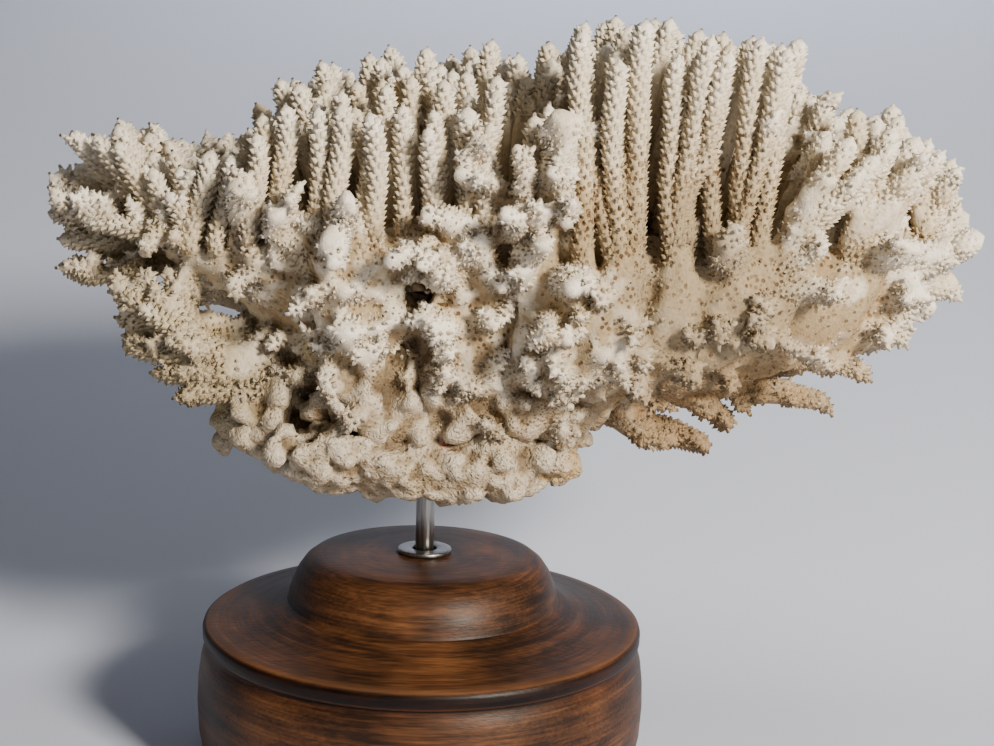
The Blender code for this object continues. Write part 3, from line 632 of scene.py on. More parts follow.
def knobs(row, dice):
    """Side knobs and short twigs all over the limb's outer face."""
    low, high = row[1:]
    made = []
    hidden = 20.0 < 0.5 * (low + high) < 175.0
    pitch = KNOB_PITCH * (1.25 if hidden else 1.0)
    height = LIMB_FLOOR + 3.0
    while height < BODY[-1][0] - 3.0:
        arc = math.radians(high - low) * reach(BODY, 0.5 * (low + high), height)
        count = max(2, int(round(arc / pitch)))
        for k in range(count):
            degrees = low + (high - low) * (k + dice.uniform(0.15, 0.85)) / count
            z = height + dice.uniform(-0.3, 0.3) * pitch
            foot = surface_point(row, degrees, z, KNOB_ROOT)
            way = outward(row, degrees, z)
            size = dice.random()
            if on_plate(foot):
                if size < 0.72:
                    continue
                size *= 0.5
            old = z < OLD_HEIGHT
            far = 2.0 + 6.5 * size ** 1.5 if old else 2.5 + 11.0 * size ** 1.5
            radius = dice.uniform(*(OLD_KNOB_RADII if old else KNOB_RADII))
            way = way + vec(dice.uniform(-0.35, 0.35), dice.uniform(-0.35, 0.35),
                            dice.uniform(-0.1, 0.55))
            tip = foot + way / np.linalg.norm(way) * (KNOB_ROOT + far)
            age = OLD_KNOB_AGE if old else KNOB_AGE + KNOB_AGE * (1.0 - size)
            made.append(grow(foot, tip, radius, radius * 0.86, 0.0 if old else far + 1.0, dice,
                             0.04, blunt=True, age=age, cup=KNOB_CUP, pitch=STUB_PITCH))
            if far > 7.0:
                made += twigs(made[-1], dice, 2, 0.5, 0.9, 5.5, 2.8, up=0.3)
        height += pitch * (0.62 if height < OLD_HEIGHT else 0.87)
    return made


def ribs(row, dice):
    """Branches that run up the limb's outside and have fused with it."""
    low, high = row[1:]
    made = []
    arc = math.radians(high - low) * reach(BODY, 0.5 * (low + high), RIB_LEVEL)
    count = max(3, int(round(arc / RIB_SPACING)))
    for k in range(count):
        degrees = low + (high - low) * (k + 0.5) / count
        line, radius = [], []
        for height in np.arange(RIB_STARTS[k % 3], RIB_TOP, FUSED_STEP):
            turn = degrees + 3.4 * noise.noise(Vector((k * 3.1, low * 0.7, height / 17.0)))
            line.append(surface_point(row, turn, height, RIB_INSET))
            swell = RIB_SWELL * noise.noise(Vector((k * 1.7, low, height / 9.0)))
            radius.append(RIB_RADIUS + swell)
        made.append(Branch(line, radius, 0.0, age=RIB_AGE))
    return made


def side_faces(rings, sides, closed=False):
    """Faces between neighbouring rings of points, and from the last to the first if closed."""
    faces = []
    for i in range(rings if closed else rings - 1):
        above = (i + 1) % rings
        for k in range(sides):
            after = (k + 1) % sides
            faces.append((i * sides + k, i * sides + after,
                          above * sides + after, above * sides + k))
    return faces


def tube_arrays(branch, sides=TUBE_SIDES):
    """Closed tube round a branch, as points and faces, with each point's distance from the tip."""
    tangent, side, other = branch.frames()
    angles = np.linspace(0.0, math.tau, sides, endpoint=False)
    ring = (np.cos(angles)[None, :, None] * side[:, None, :]
            + np.sin(angles)[None, :, None] * other[:, None, :])
    points = (branch.line[:, None, :] + ring * branch.radius[:, None, None]).reshape(-1, 3)
    count = len(branch.line)
    faces = side_faces(count, sides)
    foot_pole, tip_pole = len(points), len(points) + 1
    tip = branch.line[-1] + tangent[-1] * branch.radius[-1] * 0.7
    points = np.vstack([points, branch.line[:1], tip[None]])
    last = (count - 1) * sides
    for k in range(sides):
        after = (k + 1) % sides
        faces.append((after, k, foot_pole))
        faces.append((last + k, last + after, tip_pole))
    left = branch.length - branch.along
    ages = np.concatenate([np.repeat(left, sides), [branch.length, 0.0]]) + branch.age
    return points, faces, ages


def cup_spots(branch, dice):
    """Places, directions, sizes and ages of the cups on a branch, winding down from its tip."""
    tangent, side, other = branch.frames()
    spots = []
    down = 1.2 + branch.bare
    angle = dice.uniform(0.0, math.tau)
    limit = min(branch.cover, branch.length - 1.0)
    while down < limit:
        along = branch.length - down
        centre = vec(*[np.interp(along, branch.along, branch.line[:, i]) for i in range(3)])
        radius = float(np.interp(along, branch.along, branch.radius))
        index = min(int(np.searchsorted(branch.along, along)), len(branch.line) - 1)
        out = side[index] * math.cos(angle) + other[index] * math.sin(angle)
        aim = out + tangent[index] * CUP_TILT * dice.uniform(0.75, 1.25)
        aim /= np.linalg.norm(aim)
        size = branch.cup * dice.uniform(0.82, 1.18) * (0.86 + 0.14 * min(1.0, down / 6.0))
        size *= 1.0 - 0.3 * min(1.0, max(0.0, down - 12.0) / 50.0)
        spots.append((*(centre + out * radius * 0.9), *aim, size, 1.35 * down + branch.age, *out))
        down += branch.pitch ** 2 / (math.tau * max(radius, 1.5)) * dice.uniform(0.9, 1.1)
        angle += GOLDEN_TURN
    if branch.cover > 5.0 and branch.bare == 0.0:
        end = branch.line[-1] + tangent[-1] * branch.radius[-1] * 0.2
        spots.append((*end, *tangent[-1], 0.95, 0.0, *side[-1]))
    return spots


def placed(name, data):
    """An object of its data, in the scene."""
    made = bpy.data.objects.new(name, data)
    bpy.context.scene.collection.objects.link(made)
    return made


def mark(mesh, name, values, kind="FLOAT"):
    """Keep a value or a direction with each point of a mesh."""
    marks = mesh.attributes.new(name, kind, "POINT")
    marks.data.foreach_set("value" if kind == "FLOAT" else "vector",
                           np.asarray(values, np.float32).ravel())


def mesh_object(name, points, faces, ages=None):
    """Object from millimetre points."""
    mesh = bpy.data.meshes.new(name)
    mesh.from_pydata((np.asarray(points) * MM).tolist(), [], faces)
    if ages is not None:
        mark(mesh, "age", ages)
    mesh.update()
    return placed(name, mesh)


def evaluated(source, name):
    """Plain mesh of an object as its modifiers leave it. The source goes."""
    depsgraph = bpy.context.evaluated_depsgraph_get()
    mesh = bpy.data.meshes.new_from_object(source.evaluated_get(depsgraph),
                                           preserve_all_data_layers=True, depsgraph=depsgraph)
    mesh.name = name
    bpy.data.objects.remove(source, do_unlink=True)
    return mesh


def wedge_arrays(row):
    """The limb's fused part as a closed wedge, a little inside its ribs."""
    low, high = row[1:]
    top = BODY[-1][0]
    heights = [WEDGE_FLOOR] + list(np.arange(LIMB_FLOOR + 3.0, top - 4.0, 5.0)) + [top - 2.0]
    rings = []
    for height in heights:
        ring = []
        past = math.degrees(WEB / reach(BODY, 0.5 * (low + high), height))
        for k in range(WEDGE_COLUMNS + 1):
            share = k / WEDGE_COLUMNS
            degrees = low - past + (high - low + 2.0 * past) * k / WEDGE_COLUMNS
            inner = low + (high - low) * (0.5 + 0.8 * (share - 0.5))
            away = fused_reach(row, inner, max(height, LIMB_FLOOR))
            away += (reach(BODY, degrees, height) - reach(BODY, inner, height)) - WEDGE_INSET
            away -= UNDERCUT * max(0.0, UNDERCUT_BELOW - height) ** 2
            ring.append(from_stem(degrees, away, height))
        ring += [from_stem(degrees, STEM_RADIUS - 6, height) for degrees in (high, low)]
        rings.append(ring)
    return stack_rings(rings)


def stack_rings(rings):
    """Closed body through rings of equal length, lowest first, each counter-clockwise."""
    count = len(rings[0])
    points = [p for ring in rings for p in ring]
    faces = [tuple(reversed(range(count)))] + side_faces(len(rings), count)
    faces.append(tuple((len(rings) - 1) * count + k for k in range(count)))
    return np.array(points, float), faces


def merged(sets):
    """Several (points, faces) as one."""
    points, faces, start = [], [], 0
    for p, f in sets:
        points.append(np.asarray(p, float))
        faces.extend(tuple(i + start for i in face) for face in f)
        start += len(p)
    return np.vstack(points), faces


def fused_mesh(name, sets, voxel, smoothing, keep):
    """Closed bodies grown into one skin: remeshed, smoothed and thinned."""
    points, faces = merged(sets)
    source = mesh_object(name + "_rough", points, faces)
    remesh = source.modifiers.new("grown together", "REMESH")
    remesh.mode = "VOXEL"
    remesh.voxel_size = voxel * MM
    smooth = source.modifiers.new("rounded", "SMOOTH")
    smooth.factor = 0.6
    smooth.iterations = smoothing
    thin = source.modifiers.new("thinned", "DECIMATE")
    thin.ratio = keep
    return evaluated(source, name + "_fused")


def roughen(points, amounts, seed):
    """Push points along their normals by noise: pairs of wavelength and height in millimetres."""
    shift = np.zeros(len(points))
    for wave, height in amounts:
        for i, p in enumerate(points):
            shift[i] += height * noise.noise(Vector(p / wave) + Vector((seed, 0.0, seed)))
    return shift


def hollowness(points, normals, edges):
    """How sunken each point of a skin lies among its neighbours, in millimetres."""
    def spread(values):
        total, count = np.zeros_like(values), np.zeros(len(points))
        for a, b in ((0, 1), (1, 0)):
            np.add.at(total, edges[:, a], values[edges[:, b]])
            np.add.at(count, edges[:, a], 1.0)
        return total / np.maximum(count, 1.0).reshape((-1,) + (1,) * (values.ndim - 1))
    sunken = np.einsum("ij,ij->i", spread(points) - points, normals)
    for _ in range(2):
        sunken = 0.5 * sunken + 0.5 * spread(sunken)
    return sunken


def age_from_tips(points, branches):
    """Age of the fused skin: distance from the nearest free branch's tip along that branch."""
    tree_points, ages = [], []
    for branch in branches:
        for p, along in zip(branch.line, branch.along):
            tree_points.append(p)
            ages.append(branch.length - along + branch.age)
    tree = kdtree.KDTree(len(tree_points))
    for i, p in enumerate(tree_points):
        tree.insert(Vector(p), i)
    tree.balance()
    found = np.empty(len(points))
    for i, p in enumerate(points):
        _, index, distance = tree.find(Vector(p))
        found[i] = min(OLD_AGE, ages[index] + max(0.0, distance - 5.0) * 2.0)
    return found


# Colours and materials


def linear(hex_colour):
    """Linear RGBA from an sRGB hex colour."""
    channels = [int(hex_colour[i:i + 2], 16) / 255.0 for i in (1, 3, 5)]
    return tuple(c / 12.92 if c <= 0.04045 else ((c + 0.055) / 1.055) ** 2.4
                 for c in channels) + (1.0,)


def add(tree, kind, settings=None, links=None, stops=()):
    """Add a node with its settings and inputs, linked {input: (node, output)} or set to a value.

    A colour ramp also takes its stops of (place, hex colour).
    """
    node = tree.nodes.new(kind)
    for key, value in (settings or {}).items():
        setattr(node, key, value)
    for key, value in (links or {}).items():
        socket = node.inputs[key]
        if isinstance(value, tuple) and len(value) == 2 and hasattr(value[0], "outputs"):
            tree.links.new(value[0].outputs[value[1]], socket)
        else:
            socket.default_value = value
    while stops and len(node.color_ramp.elements) < len(stops):
        node.color_ramp.elements.new(0.5)
    for element, (place, colour) in zip(node.color_ramp.elements if stops else (), stops):
        element.position = place
        element.color = linear(colour)
    return node


def per(size):
    """Scale of a pattern from its real size in millimetres."""
    return 1.0 / (size * MM)


def new_material(name):
    """An empty material with its shader. Returns the material, its tree and the shader."""
    made = bpy.data.materials.new(name)
    made.use_nodes = True
    tree = made.node_tree
    tree.nodes.clear()
    shader = add(tree, "ShaderNodeBsdfPrincipled")
    output = add(tree, "ShaderNodeOutputMaterial", None, {"Surface": (shader, 0)})
    output.location = (400, 0)
    return made, tree, shader


def tint(tree, place, base, centre, radius, hex_colour, strength=0.85):
    """Mix a colour into a base colour round one centre, with a ragged edge."""
    away = add(tree, "ShaderNodeVectorMath", {"operation": "DISTANCE"},
               {0: place, 1: tuple(float(c) * MM for c in centre)})
    ragged = add(tree, "ShaderNodeTexNoise", None,
                 {"Vector": place, "Scale": per(6.0), "Detail": 2.0})
    reach_out = add(tree, "ShaderNodeMath", {"operation": "MULTIPLY_ADD"},
                    {0: (ragged, 0), 1: 0.9 * radius * MM, 2: 0.45 * radius * MM})
    inside = add(tree, "ShaderNodeMath", {"operation": "DIVIDE"},
                 {0: (away, 1), 1: (reach_out, 0)})
    share = add(tree, "ShaderNodeMapRange", None,
                {"Value": (inside, 0), "From Min": 1.15, "From Max": 0.55, "To Min": 0.0,
                 "To Max": strength})
    return add(tree, "ShaderNodeMix", {"data_type": "RGBA"},
               {"Factor": (share, 0), 6: base, 7: linear(hex_colour)})


# Sizes of the coral's patterns in millimetres
WANDER_SIZE, BLOTCH_SIZE = 16.0, 30.0
SPECK_SIZE, GRAIN_SIZE, GROOVE_SIZE = 1.5, 0.8, 3.2
PORE_SIZE, WORN_PORE_SIZE = 2.6, 1.5
# Below these heights the skin is old and worn: where that begins and is complete
WORN_FROM, WORN_FULL = 206.0, 184.0


def growth(tree, place):
    """How old the skin is by its age, and how worn by its height, each from 0 to 1."""
    age = add(tree, "ShaderNodeAttribute", {"attribute_name": "age"})
    wander = add(tree, "ShaderNodeTexNoise", None,
                 {"Vector": place, "Scale": per(WANDER_SIZE), "Detail": 3.0})
    shifted = add(tree, "ShaderNodeMath", {"operation": "MULTIPLY_ADD"},
                  {0: (wander, 0), 1: 40.0, 2: -20.0})
    aged = add(tree, "ShaderNodeMath", {"operation": "ADD"}, {0: (age, "Fac"), 1: (shifted, 0)})
    old = add(tree, "ShaderNodeMath", {"operation": "DIVIDE", "use_clamp": True},
              {0: (aged, 0), 1: 66.0})
    parts = add(tree, "ShaderNodeSeparateXYZ", None, {"Vector": place})
    height = add(tree, "ShaderNodeMath", {"operation": "MULTIPLY_ADD"},
                 {0: (wander, 0), 1: 34.0 * MM, 2: (parts, "Z")})
    worn = add(tree, "ShaderNodeMapRange", None,
               {"Value": (height, 0), "From Min": WORN_FROM * MM, "From Max": WORN_FULL * MM,
                "To Min": 0.0, "To Max": 1.0})
    return old, worn


def skin_colour(tree, place, old, worn, blotch):
    """White at the tips, cream and then tan below, with ochre blotches, and undersides turned
    brown as painted shade.
    """
    young = add(tree, "ShaderNodeValToRGB", None, {"Fac": (old, 0)},
                [(0.0, "#E8E1D3"), (0.14, "#DFD6C3"), (0.4, "#D6CBB5"), (0.75, "#C7B99F"),
                 (1.0, "#A69374")])
    dull = add(tree, "ShaderNodeValToRGB", None, {"Fac": (old, 0)},
               [(0.0, "#C6BBA7"), (0.3, "#AFA189"), (0.6, "#8F7E65"), (0.85, "#786851"),
                (1.0, "#665742")])
    colour = add(tree, "ShaderNodeMix", {"data_type": "RGBA"},
                 {"Factor": (worn, 0), 6: (young, 0), 7: (dull, 0)})
    where = add(tree, "ShaderNodeMapRange", None,
                {"Value": (blotch, 0), "From Min": 0.5, "From Max": 0.74, "To Max": 0.6})
    colour = add(tree, "ShaderNodeMix", {"data_type": "RGBA", "blend_type": "MULTIPLY"},
                 {"Factor": (where, 0), 6: (colour, 2), 7: linear("#D9C79C")})
    # Faces that look downwards are mixed towards brown: painted shade on the undersides
    geometry = add(tree, "ShaderNodeNewGeometry")
    facing = add(tree, "ShaderNodeSeparateXYZ", None, {"Vector": (geometry, "Normal")})
    under = add(tree, "ShaderNodeMapRange", None,
                {"Value": (facing, "Z"), "From Min": 0.1, "From Max": -0.8, "To Max": 0.6})
    colour = add(tree, "ShaderNodeMix", {"data_type": "RGBA"},
                 {"Factor": (under, 0), 6: (colour, 2), 7: linear("#A1855F")})
    # Colour spots, some of them partly or wholly painted shade
    for x, z, radius, hex_colour, strength in TINTS_AND_SHADE:
        colour = tint(tree, place, (colour, 2), front_spot(x, z), radius, hex_colour, strength)
    # Each sunken hole is painted dark brown: painted shade in the dent
    for x, z, radius, _ in HOLES:
        colour = tint(tree, place, (colour, 2), front_spot(x, z) + vec(0.0, 6.0, 0.0),
                      radius * 1.25, "#43301F")
    grain = add(tree, "ShaderNodeTexNoise", None,
                {"Vector": place, "Scale": per(SPECK_SIZE), "Detail": 2.0})
    specks = add(tree, "ShaderNodeMapRange", None,
                 {"Value": (grain, 0), "From Min": 0.32, "From Max": 0.62, "To Min": 0.82,
                  "To Max": 1.05})
    return add(tree, "ShaderNodeMix", {"data_type": "RGBA", "blend_type": "MULTIPLY"},
               {"Factor": 1.0, 6: (colour, 2), 7: (specks, 0)})


def skin_pores(tree, place, old, worn, blotch):
    """Open pores of the old skin, wide on the limbs and close on the worn root; the coral's
    material paints them dark as painted shade and sinks them with the bump.
    """
    wide = add(tree, "ShaderNodeTexVoronoi", None,
               {"Vector": place, "Scale": per(PORE_SIZE), "Randomness": 0.9})
    close = add(tree, "ShaderNodeTexVoronoi", None,
                {"Vector": place, "Scale": per(WORN_PORE_SIZE)})
    cells = add(tree, "ShaderNodeMix", {"data_type": "FLOAT"},
                {"Factor": (worn, 0), 2: (wide, "Distance"), 3: (close, "Distance")})
    opened = add(tree, "ShaderNodeMapRange", None,
                 {"Value": (cells, 0), "From Min": 0.38, "From Max": 0.24})
    grown = add(tree, "ShaderNodeMapRange", None,
                {"Value": (old, 0), "From Min": 0.32, "From Max": 0.6})
    patchy = add(tree, "ShaderNodeMapRange", None,
                 {"Value": (blotch, 0), "From Min": 0.42, "From Max": 0.6, "To Min": 0.1})
    open_there = add(tree, "ShaderNodeMath", {"operation": "MULTIPLY"},
                     {0: (opened, 0), 1: (patchy, 0)})
    worn_pores = add(tree, "ShaderNodeMath", {"operation": "MULTIPLY"}, {0: (worn, 0), 1: 0.75})
    likely = add(tree, "ShaderNodeMath", {"operation": "MAXIMUM"},
                 {0: (grown, 0), 1: (worn_pores, 0)})
    return add(tree, "ShaderNodeMath", {"operation": "MULTIPLY"},
               {0: (open_there, 0), 1: (likely, 0)})


def coral_material():
    """Bleached aragonite skeleton: chalky, granular, whitest where it grew last, old below."""
    made, tree, shader = new_material("bleached coral skeleton")
    shader.inputs["Roughness"].default_value = 0.84
    shader.inputs["Specular IOR Level"].default_value = 0.3
    place = (add(tree, "ShaderNodeTexCoord"), "Object")
    old, worn = growth(tree, place)
    blotch = add(tree, "ShaderNodeTexNoise", None,
                 {"Vector": place, "Scale": per(BLOTCH_SIZE), "Detail": 4.0, "Roughness": 0.62})
    colour = skin_colour(tree, place, old, worn, blotch)
    pores = skin_pores(tree, place, old, worn, blotch)
    # Pits and pores are painted dark inside: painted shade of their depth
    pit = add(tree, "ShaderNodeAttribute", {"attribute_name": "pit"})
    depth = add(tree, "ShaderNodeMath", {"operation": "POWER"}, {0: (pit, "Fac"), 1: 0.7})
    both = add(tree, "ShaderNodeMath", {"operation": "MAXIMUM"}, {0: (pores, 0), 1: (depth, 0)})
    hollow = add(tree, "ShaderNodeMix", {"data_type": "RGBA"},
                 {"Factor": (both, 0), 6: (colour, 2), 7: linear("#5E4730")})
    tree.links.new(hollow.outputs[2], shader.inputs["Base Color"])
    # Fine grain everywhere, wandering grooves where the skin is worn, and the pores' depth
    fine = add(tree, "ShaderNodeTexNoise", None,
               {"Vector": place, "Scale": per(GRAIN_SIZE), "Detail": 2.0})
    grooves = add(tree, "ShaderNodeTexNoise", None,
                  {"Vector": place, "Scale": per(GROOVE_SIZE), "Detail": 2.0, "Distortion": 1.6})
    worn_relief = add(tree, "ShaderNodeMath", {"operation": "MULTIPLY"},
                      {0: (grooves, 0), 1: (worn, 0)})
    relief = add(tree, "ShaderNodeMath", {"operation": "MULTIPLY_ADD"},
                 {0: (worn_relief, 0), 1: 6.5, 2: (fine, 0)})
    sunk = add(tree, "ShaderNodeMath", {"operation": "MULTIPLY_ADD"},
               {0: (pores, 0), 1: -1.4, 2: (relief, 0)})
    bump = add(tree, "ShaderNodeBump", None,
               {"Height": (sunk, 0), "Strength": 0.7, "Distance": 0.45 * MM})
    tree.links.new(bump.outputs[0], shader.inputs["Normal"])
    return made


def wood_material():
    """Turned wood with a dark walnut stain and wax: arcs of tool marks, grain, a darker stained
    rim with painted shade in its groove, bead edges lighter as wear and painted highlight.
    """
    made, tree, shader = new_material("stained turned wood")
    shader.inputs["Specular IOR Level"].default_value = 0.2
    place = add(tree, "ShaderNodeTexCoord")
    parts = add(tree, "ShaderNodeSeparateXYZ", None, {"Vector": (place, "Object")})
    flat = add(tree, "ShaderNodeCombineXYZ", None, {"X": (parts, "X"), "Y": (parts, "Y")})
    radius = add(tree, "ShaderNodeVectorMath", {"operation": "LENGTH"}, {0: (flat, 0)})
    across = add(tree, "ShaderNodeMath", {"operation": "SUBTRACT"},
                 {0: (radius, "Value"), 1: (parts, "Z")})
    around = add(tree, "ShaderNodeVectorMath", {"operation": "NORMALIZE"}, {0: (flat, 0)})
    arcs = []
    for turn_size, grain_size, detail in ((4.5, 1.3, 3.0), (9.0, 6.0, 3.0)):
        shrunk = add(tree, "ShaderNodeVectorMath", {"operation": "SCALE"},
                     {0: (around, 0), "Scale": turn_size * MM})
        split = add(tree, "ShaderNodeSeparateXYZ", None, {"Vector": (shrunk, 0)})
        turned_place = add(tree, "ShaderNodeCombineXYZ", None,
                           {"X": (split, "X"), "Y": (split, "Y"), "Z": (across, 0)})
        arcs.append(add(tree, "ShaderNodeTexNoise", None,
                        {"Vector": (turned_place, 0), "Scale": per(grain_size),
                         "Detail": detail, "Roughness": 0.6}))
    stretch = add(tree, "ShaderNodeMapping", None,
                  {"Vector": (place, "Object"), "Scale": (0.07, 1.0, 1.0)})
    grain = add(tree, "ShaderNodeTexNoise", None,
                {"Vector": (stretch, 0), "Scale": per(1.1), "Detail": 3.0, "Roughness": 0.6})
    cloud = add(tree, "ShaderNodeTexNoise", None,
                {"Vector": (place, "Object"), "Scale": per(42.0), "Detail": 3.0,
                 "Roughness": 0.55})
    tone = add(tree, "ShaderNodeMath", {"operation": "MULTIPLY_ADD"},
               {0: (arcs[0], 0), 1: 0.26, 2: -0.02})
    for source, weight in ((arcs[1], 0.3), (grain, 0.16), (cloud, 0.34)):
        tone = add(tree, "ShaderNodeMath", {"operation": "MULTIPLY_ADD"},
                   {0: (source, 0), 1: weight, 2: (tone, 0)})
    colour = add(tree, "ShaderNodeValToRGB", None, {"Fac": (tone, 0)},
                 [(0.38, "#170E0B"), (0.47, "#2B1B11"), (0.55, "#4A2E1B"), (0.66, "#6E482B")])
    heights = add(tree, "ShaderNodeMapRange", None,
                  {"Value": (parts, "Z"), "From Min": 50.0 * MM, "From Max": 66.0 * MM})
    # Darker round the rim: stain on the bead's face, and painted shade in the groove between drum
    # and rim
    rim_stain_and_groove_shade = add(tree, "ShaderNodeValToRGB", None, {"Fac": (heights, 0)},
               [(0.0, "#FFFFFF"), (0.2, "#D8CCC8"), (0.26, "#50443F"), (0.34, "#9A8A84"),
                (0.42, "#6E5F5A"), (0.66, "#6E5F5A"), (0.74, "#FFFFFF")])
    banded = add(tree, "ShaderNodeMix", {"data_type": "RGBA", "blend_type": "MULTIPLY"},
                 {"Factor": 1.0, 6: (colour, 0), 7: (rim_stain_and_groove_shade, 0)})
    # Lighter lines on the bead's edges: partly rubbed wear, partly painted highlight
    worn_and_highlit_edges = add(tree, "ShaderNodeValToRGB", None, {"Fac": (heights, 0)},
                     [(0.28, "#000000"), (0.325, "#6A6A6A"), (0.38, "#000000"),
                      (0.7, "#000000"), (0.735, "#8A8A8A"), (0.78, "#000000")])
    edged = add(tree, "ShaderNodeMix", {"data_type": "RGBA"},
                {"Factor": (worn_and_highlit_edges, 0), 6: (banded, 2), 7: linear("#9A6A48")})
    tree.links.new(edged.outputs[2], shader.inputs["Base Color"])
    gloss = add(tree, "ShaderNodeMapRange", None,
                {"Value": (arcs[0], 0), "To Min": 0.34, "To Max": 0.56})
    tree.links.new(gloss.outputs[0], shader.inputs["Roughness"])
    height = add(tree, "ShaderNodeMath", {"operation": "MULTIPLY_ADD"},
                 {0: (arcs[0], 0), 1: 0.8, 2: (grain, 0)})
    bump = add(tree, "ShaderNodeBump", None,
               {"Height": (height, 0), "Strength": 0.3, "Distance": 0.35 * MM})
    tree.links.new(bump.outputs[0], shader.inputs["Normal"])
    return made


def metal_material(name, colour, rough, along_z):
    """Drawn or plated steel with fine lines from its making."""
    made, tree, shader = new_material(name)
    shader.inputs["Metallic"].default_value = 1.0
    place = add(tree, "ShaderNodeTexCoord")
    stretch = add(tree, "ShaderNodeMapping", None,
                  {"Vector": (place, "Object"),
                   "Scale": (1.0, 1.0, 0.05) if along_z else (1.0, 1.0, 1.0)})
    lines = add(tree, "ShaderNodeTexNoise", None,
                {"Vector": (stretch, 0), "Scale": per(0.9), "Detail": 3.0})
    colours = add(tree, "ShaderNodeValToRGB", None, {"Fac": (lines, 0)},
                  [(0.3, colour[0]), (0.7, colour[1])])
    tree.links.new(colours.outputs[0], shader.inputs["Base Color"])
    gloss = add(tree, "ShaderNodeMapRange", None,
                {"Value": (lines, 0), "To Min": rough - 0.08, "To Max": rough + 0.12})
    tree.links.new(gloss.outputs[0], shader.inputs["Roughness"])
    return made


def plain_material(name, colour, roughness):
    """One even colour, as of the backdrop's paper."""
    made, _, shader = new_material(name)
    shader.inputs["Base Color"].default_value = linear(colour)
    shader.inputs["Roughness"].default_value = roughness
    return made


# Cups and pores by Geometry Nodes


def ring_shape(name, sides, profile, floor, hollow, lip=0.0):
    """A small ring with a hollow, standing on its own Z, drawn out to a lip at +X."""
    points, pit_shades = [], []
    for level, (radius, height) in enumerate(profile):
        for k in range(sides):
            angle = math.tau * (k + 0.5) / sides
            rise = level * lip * (0.5 + 0.5 * math.cos(angle))
            points.append((radius * math.cos(angle) + 0.3 * rise, radius * math.sin(angle),
                           height + rise))
            pit_shades.append(0.0)
    # The floor point carries how dark the hollow is painted: painted shade
    points.append((0.0, 0.0, floor))
    pit_shades.append(hollow)
    faces = []
    for k in range(sides):
        after = (k + 1) % sides
        faces.append((k, after, sides + after, sides + k))
        faces.append((sides + k, sides + after, 2 * sides))
    made = mesh_object(name, points, faces)
    mark(made.data, "pit", pit_shades)
    made.data.shade_smooth()
    return made


def cup_shape():
    """One cup of the skeleton, its outer wall drawn out to a lip."""
    return ring_shape("cup_shape", CUP_SIDES, CUP_WALL, 0.35, 0.3, CUP_HEIGHT - CUP_WALL[1][1])


def pore_shape():
    """One low rimmed pore of the fused skin."""
    return ring_shape("pore_shape", PORE_SIDES, PORE_WALL, 0.0, 1.0)


def cups_tree():
    """Stands cups on marked spots and low pores on the fused skin, and joins them to it."""
    tree = bpy.data.node_groups.new("cups and pores", "GeometryNodeTree")
    face = tree.interface
    face.new_socket("Geometry", in_out="INPUT", socket_type="NodeSocketGeometry")
    for label, kind in (("Spots", "NodeSocketObject"), ("Cup", "NodeSocketObject"),
                        ("Pore", "NodeSocketObject"), ("Pore spacing", "NodeSocketFloat"),
                        ("Seed", "NodeSocketInt"), ("Material", "NodeSocketMaterial")):
        face.new_socket(label, in_out="INPUT", socket_type=kind)
    face.new_socket("Geometry", in_out="OUTPUT", socket_type="NodeSocketGeometry")
    enter = add(tree, "NodeGroupInput")
    cup = add(tree, "GeometryNodeObjectInfo", None,
              {"Object": (enter, "Cup"), "As Instance": True})
    pore = add(tree, "GeometryNodeObjectInfo", None,
               {"Object": (enter, "Pore"), "As Instance": True})
    spots = add(tree, "GeometryNodeObjectInfo", None, {"Object": (enter, "Spots")})

    aim = add(tree, "GeometryNodeInputNamedAttribute", {"data_type": "FLOAT_VECTOR"},
              {"Name": "aim"})
    lip = add(tree, "GeometryNodeInputNamedAttribute", {"data_type": "FLOAT_VECTOR"},
              {"Name": "lip"})
    size = add(tree, "GeometryNodeInputNamedAttribute", {"data_type": "FLOAT"}, {"Name": "size"})
    raised = add(tree, "FunctionNodeAlignRotationToVector", {"axis": "Z"}, {"Vector": (aim, 0)})
    turn = add(tree, "FunctionNodeAlignRotationToVector", {"axis": "X", "pivot_axis": "Z"},
               {"Rotation": (raised, 0), "Vector": (lip, 0)})
    cups = add(tree, "GeometryNodeInstanceOnPoints", None,
               {"Points": (spots, "Geometry"), "Instance": (cup, "Geometry"),
                "Rotation": (turn, 0), "Scale": (size, 0)})

    skin = add(tree, "GeometryNodeInputNamedAttribute", {"data_type": "FLOAT"}, {"Name": "skin"})
    pored = add(tree, "ShaderNodeMath", {"operation": "GREATER_THAN"}, {0: (skin, 0), 1: 0.5})
    scattered = add(tree, "GeometryNodeDistributePointsOnFaces", {"distribute_method": "POISSON"},
                    {"Mesh": (enter, "Geometry"), "Selection": (pored, 0),
                     "Distance Min": (enter, "Pore spacing"), "Density Max": 400000.0,
                     "Seed": (enter, "Seed")})
    vary = add(tree, "FunctionNodeRandomValue", {"data_type": "FLOAT"},
               {2: 0.7, 3: 1.25, "Seed": (enter, "Seed")})
    pores = add(tree, "GeometryNodeInstanceOnPoints", None,
                {"Points": (scattered, "Points"), "Instance": (pore, "Geometry"),
                 "Rotation": (scattered, "Rotation"), "Scale": (vary, 1)})

    together = add(tree, "GeometryNodeJoinGeometry")
    for node, output in ((enter, "Geometry"), (cups, 0), (pores, 0)):
        tree.links.new(node.outputs[output], together.inputs[0])
    real = add(tree, "GeometryNodeRealizeInstances", None, {"Geometry": (together, 0)})
    painted = add(tree, "GeometryNodeSetMaterial", None,
                  {"Geometry": (real, 0), "Material": (enter, "Material")})
    add(tree, "NodeGroupOutput", None, {"Geometry": (painted, 0)})
    return tree


def spots_object(name, spots):
    """Points that carry each cup's direction, size and age."""
    table = np.array(spots, float)
    made = mesh_object(name, table[:, :3], [], table[:, 7])
    mark(made.data, "aim", table[:, 3:6], "FLOAT_VECTOR")
    mark(made.data, "lip", table[:, 8:11], "FLOAT_VECTOR")
    mark(made.data, "size", table[:, 6])
    return made


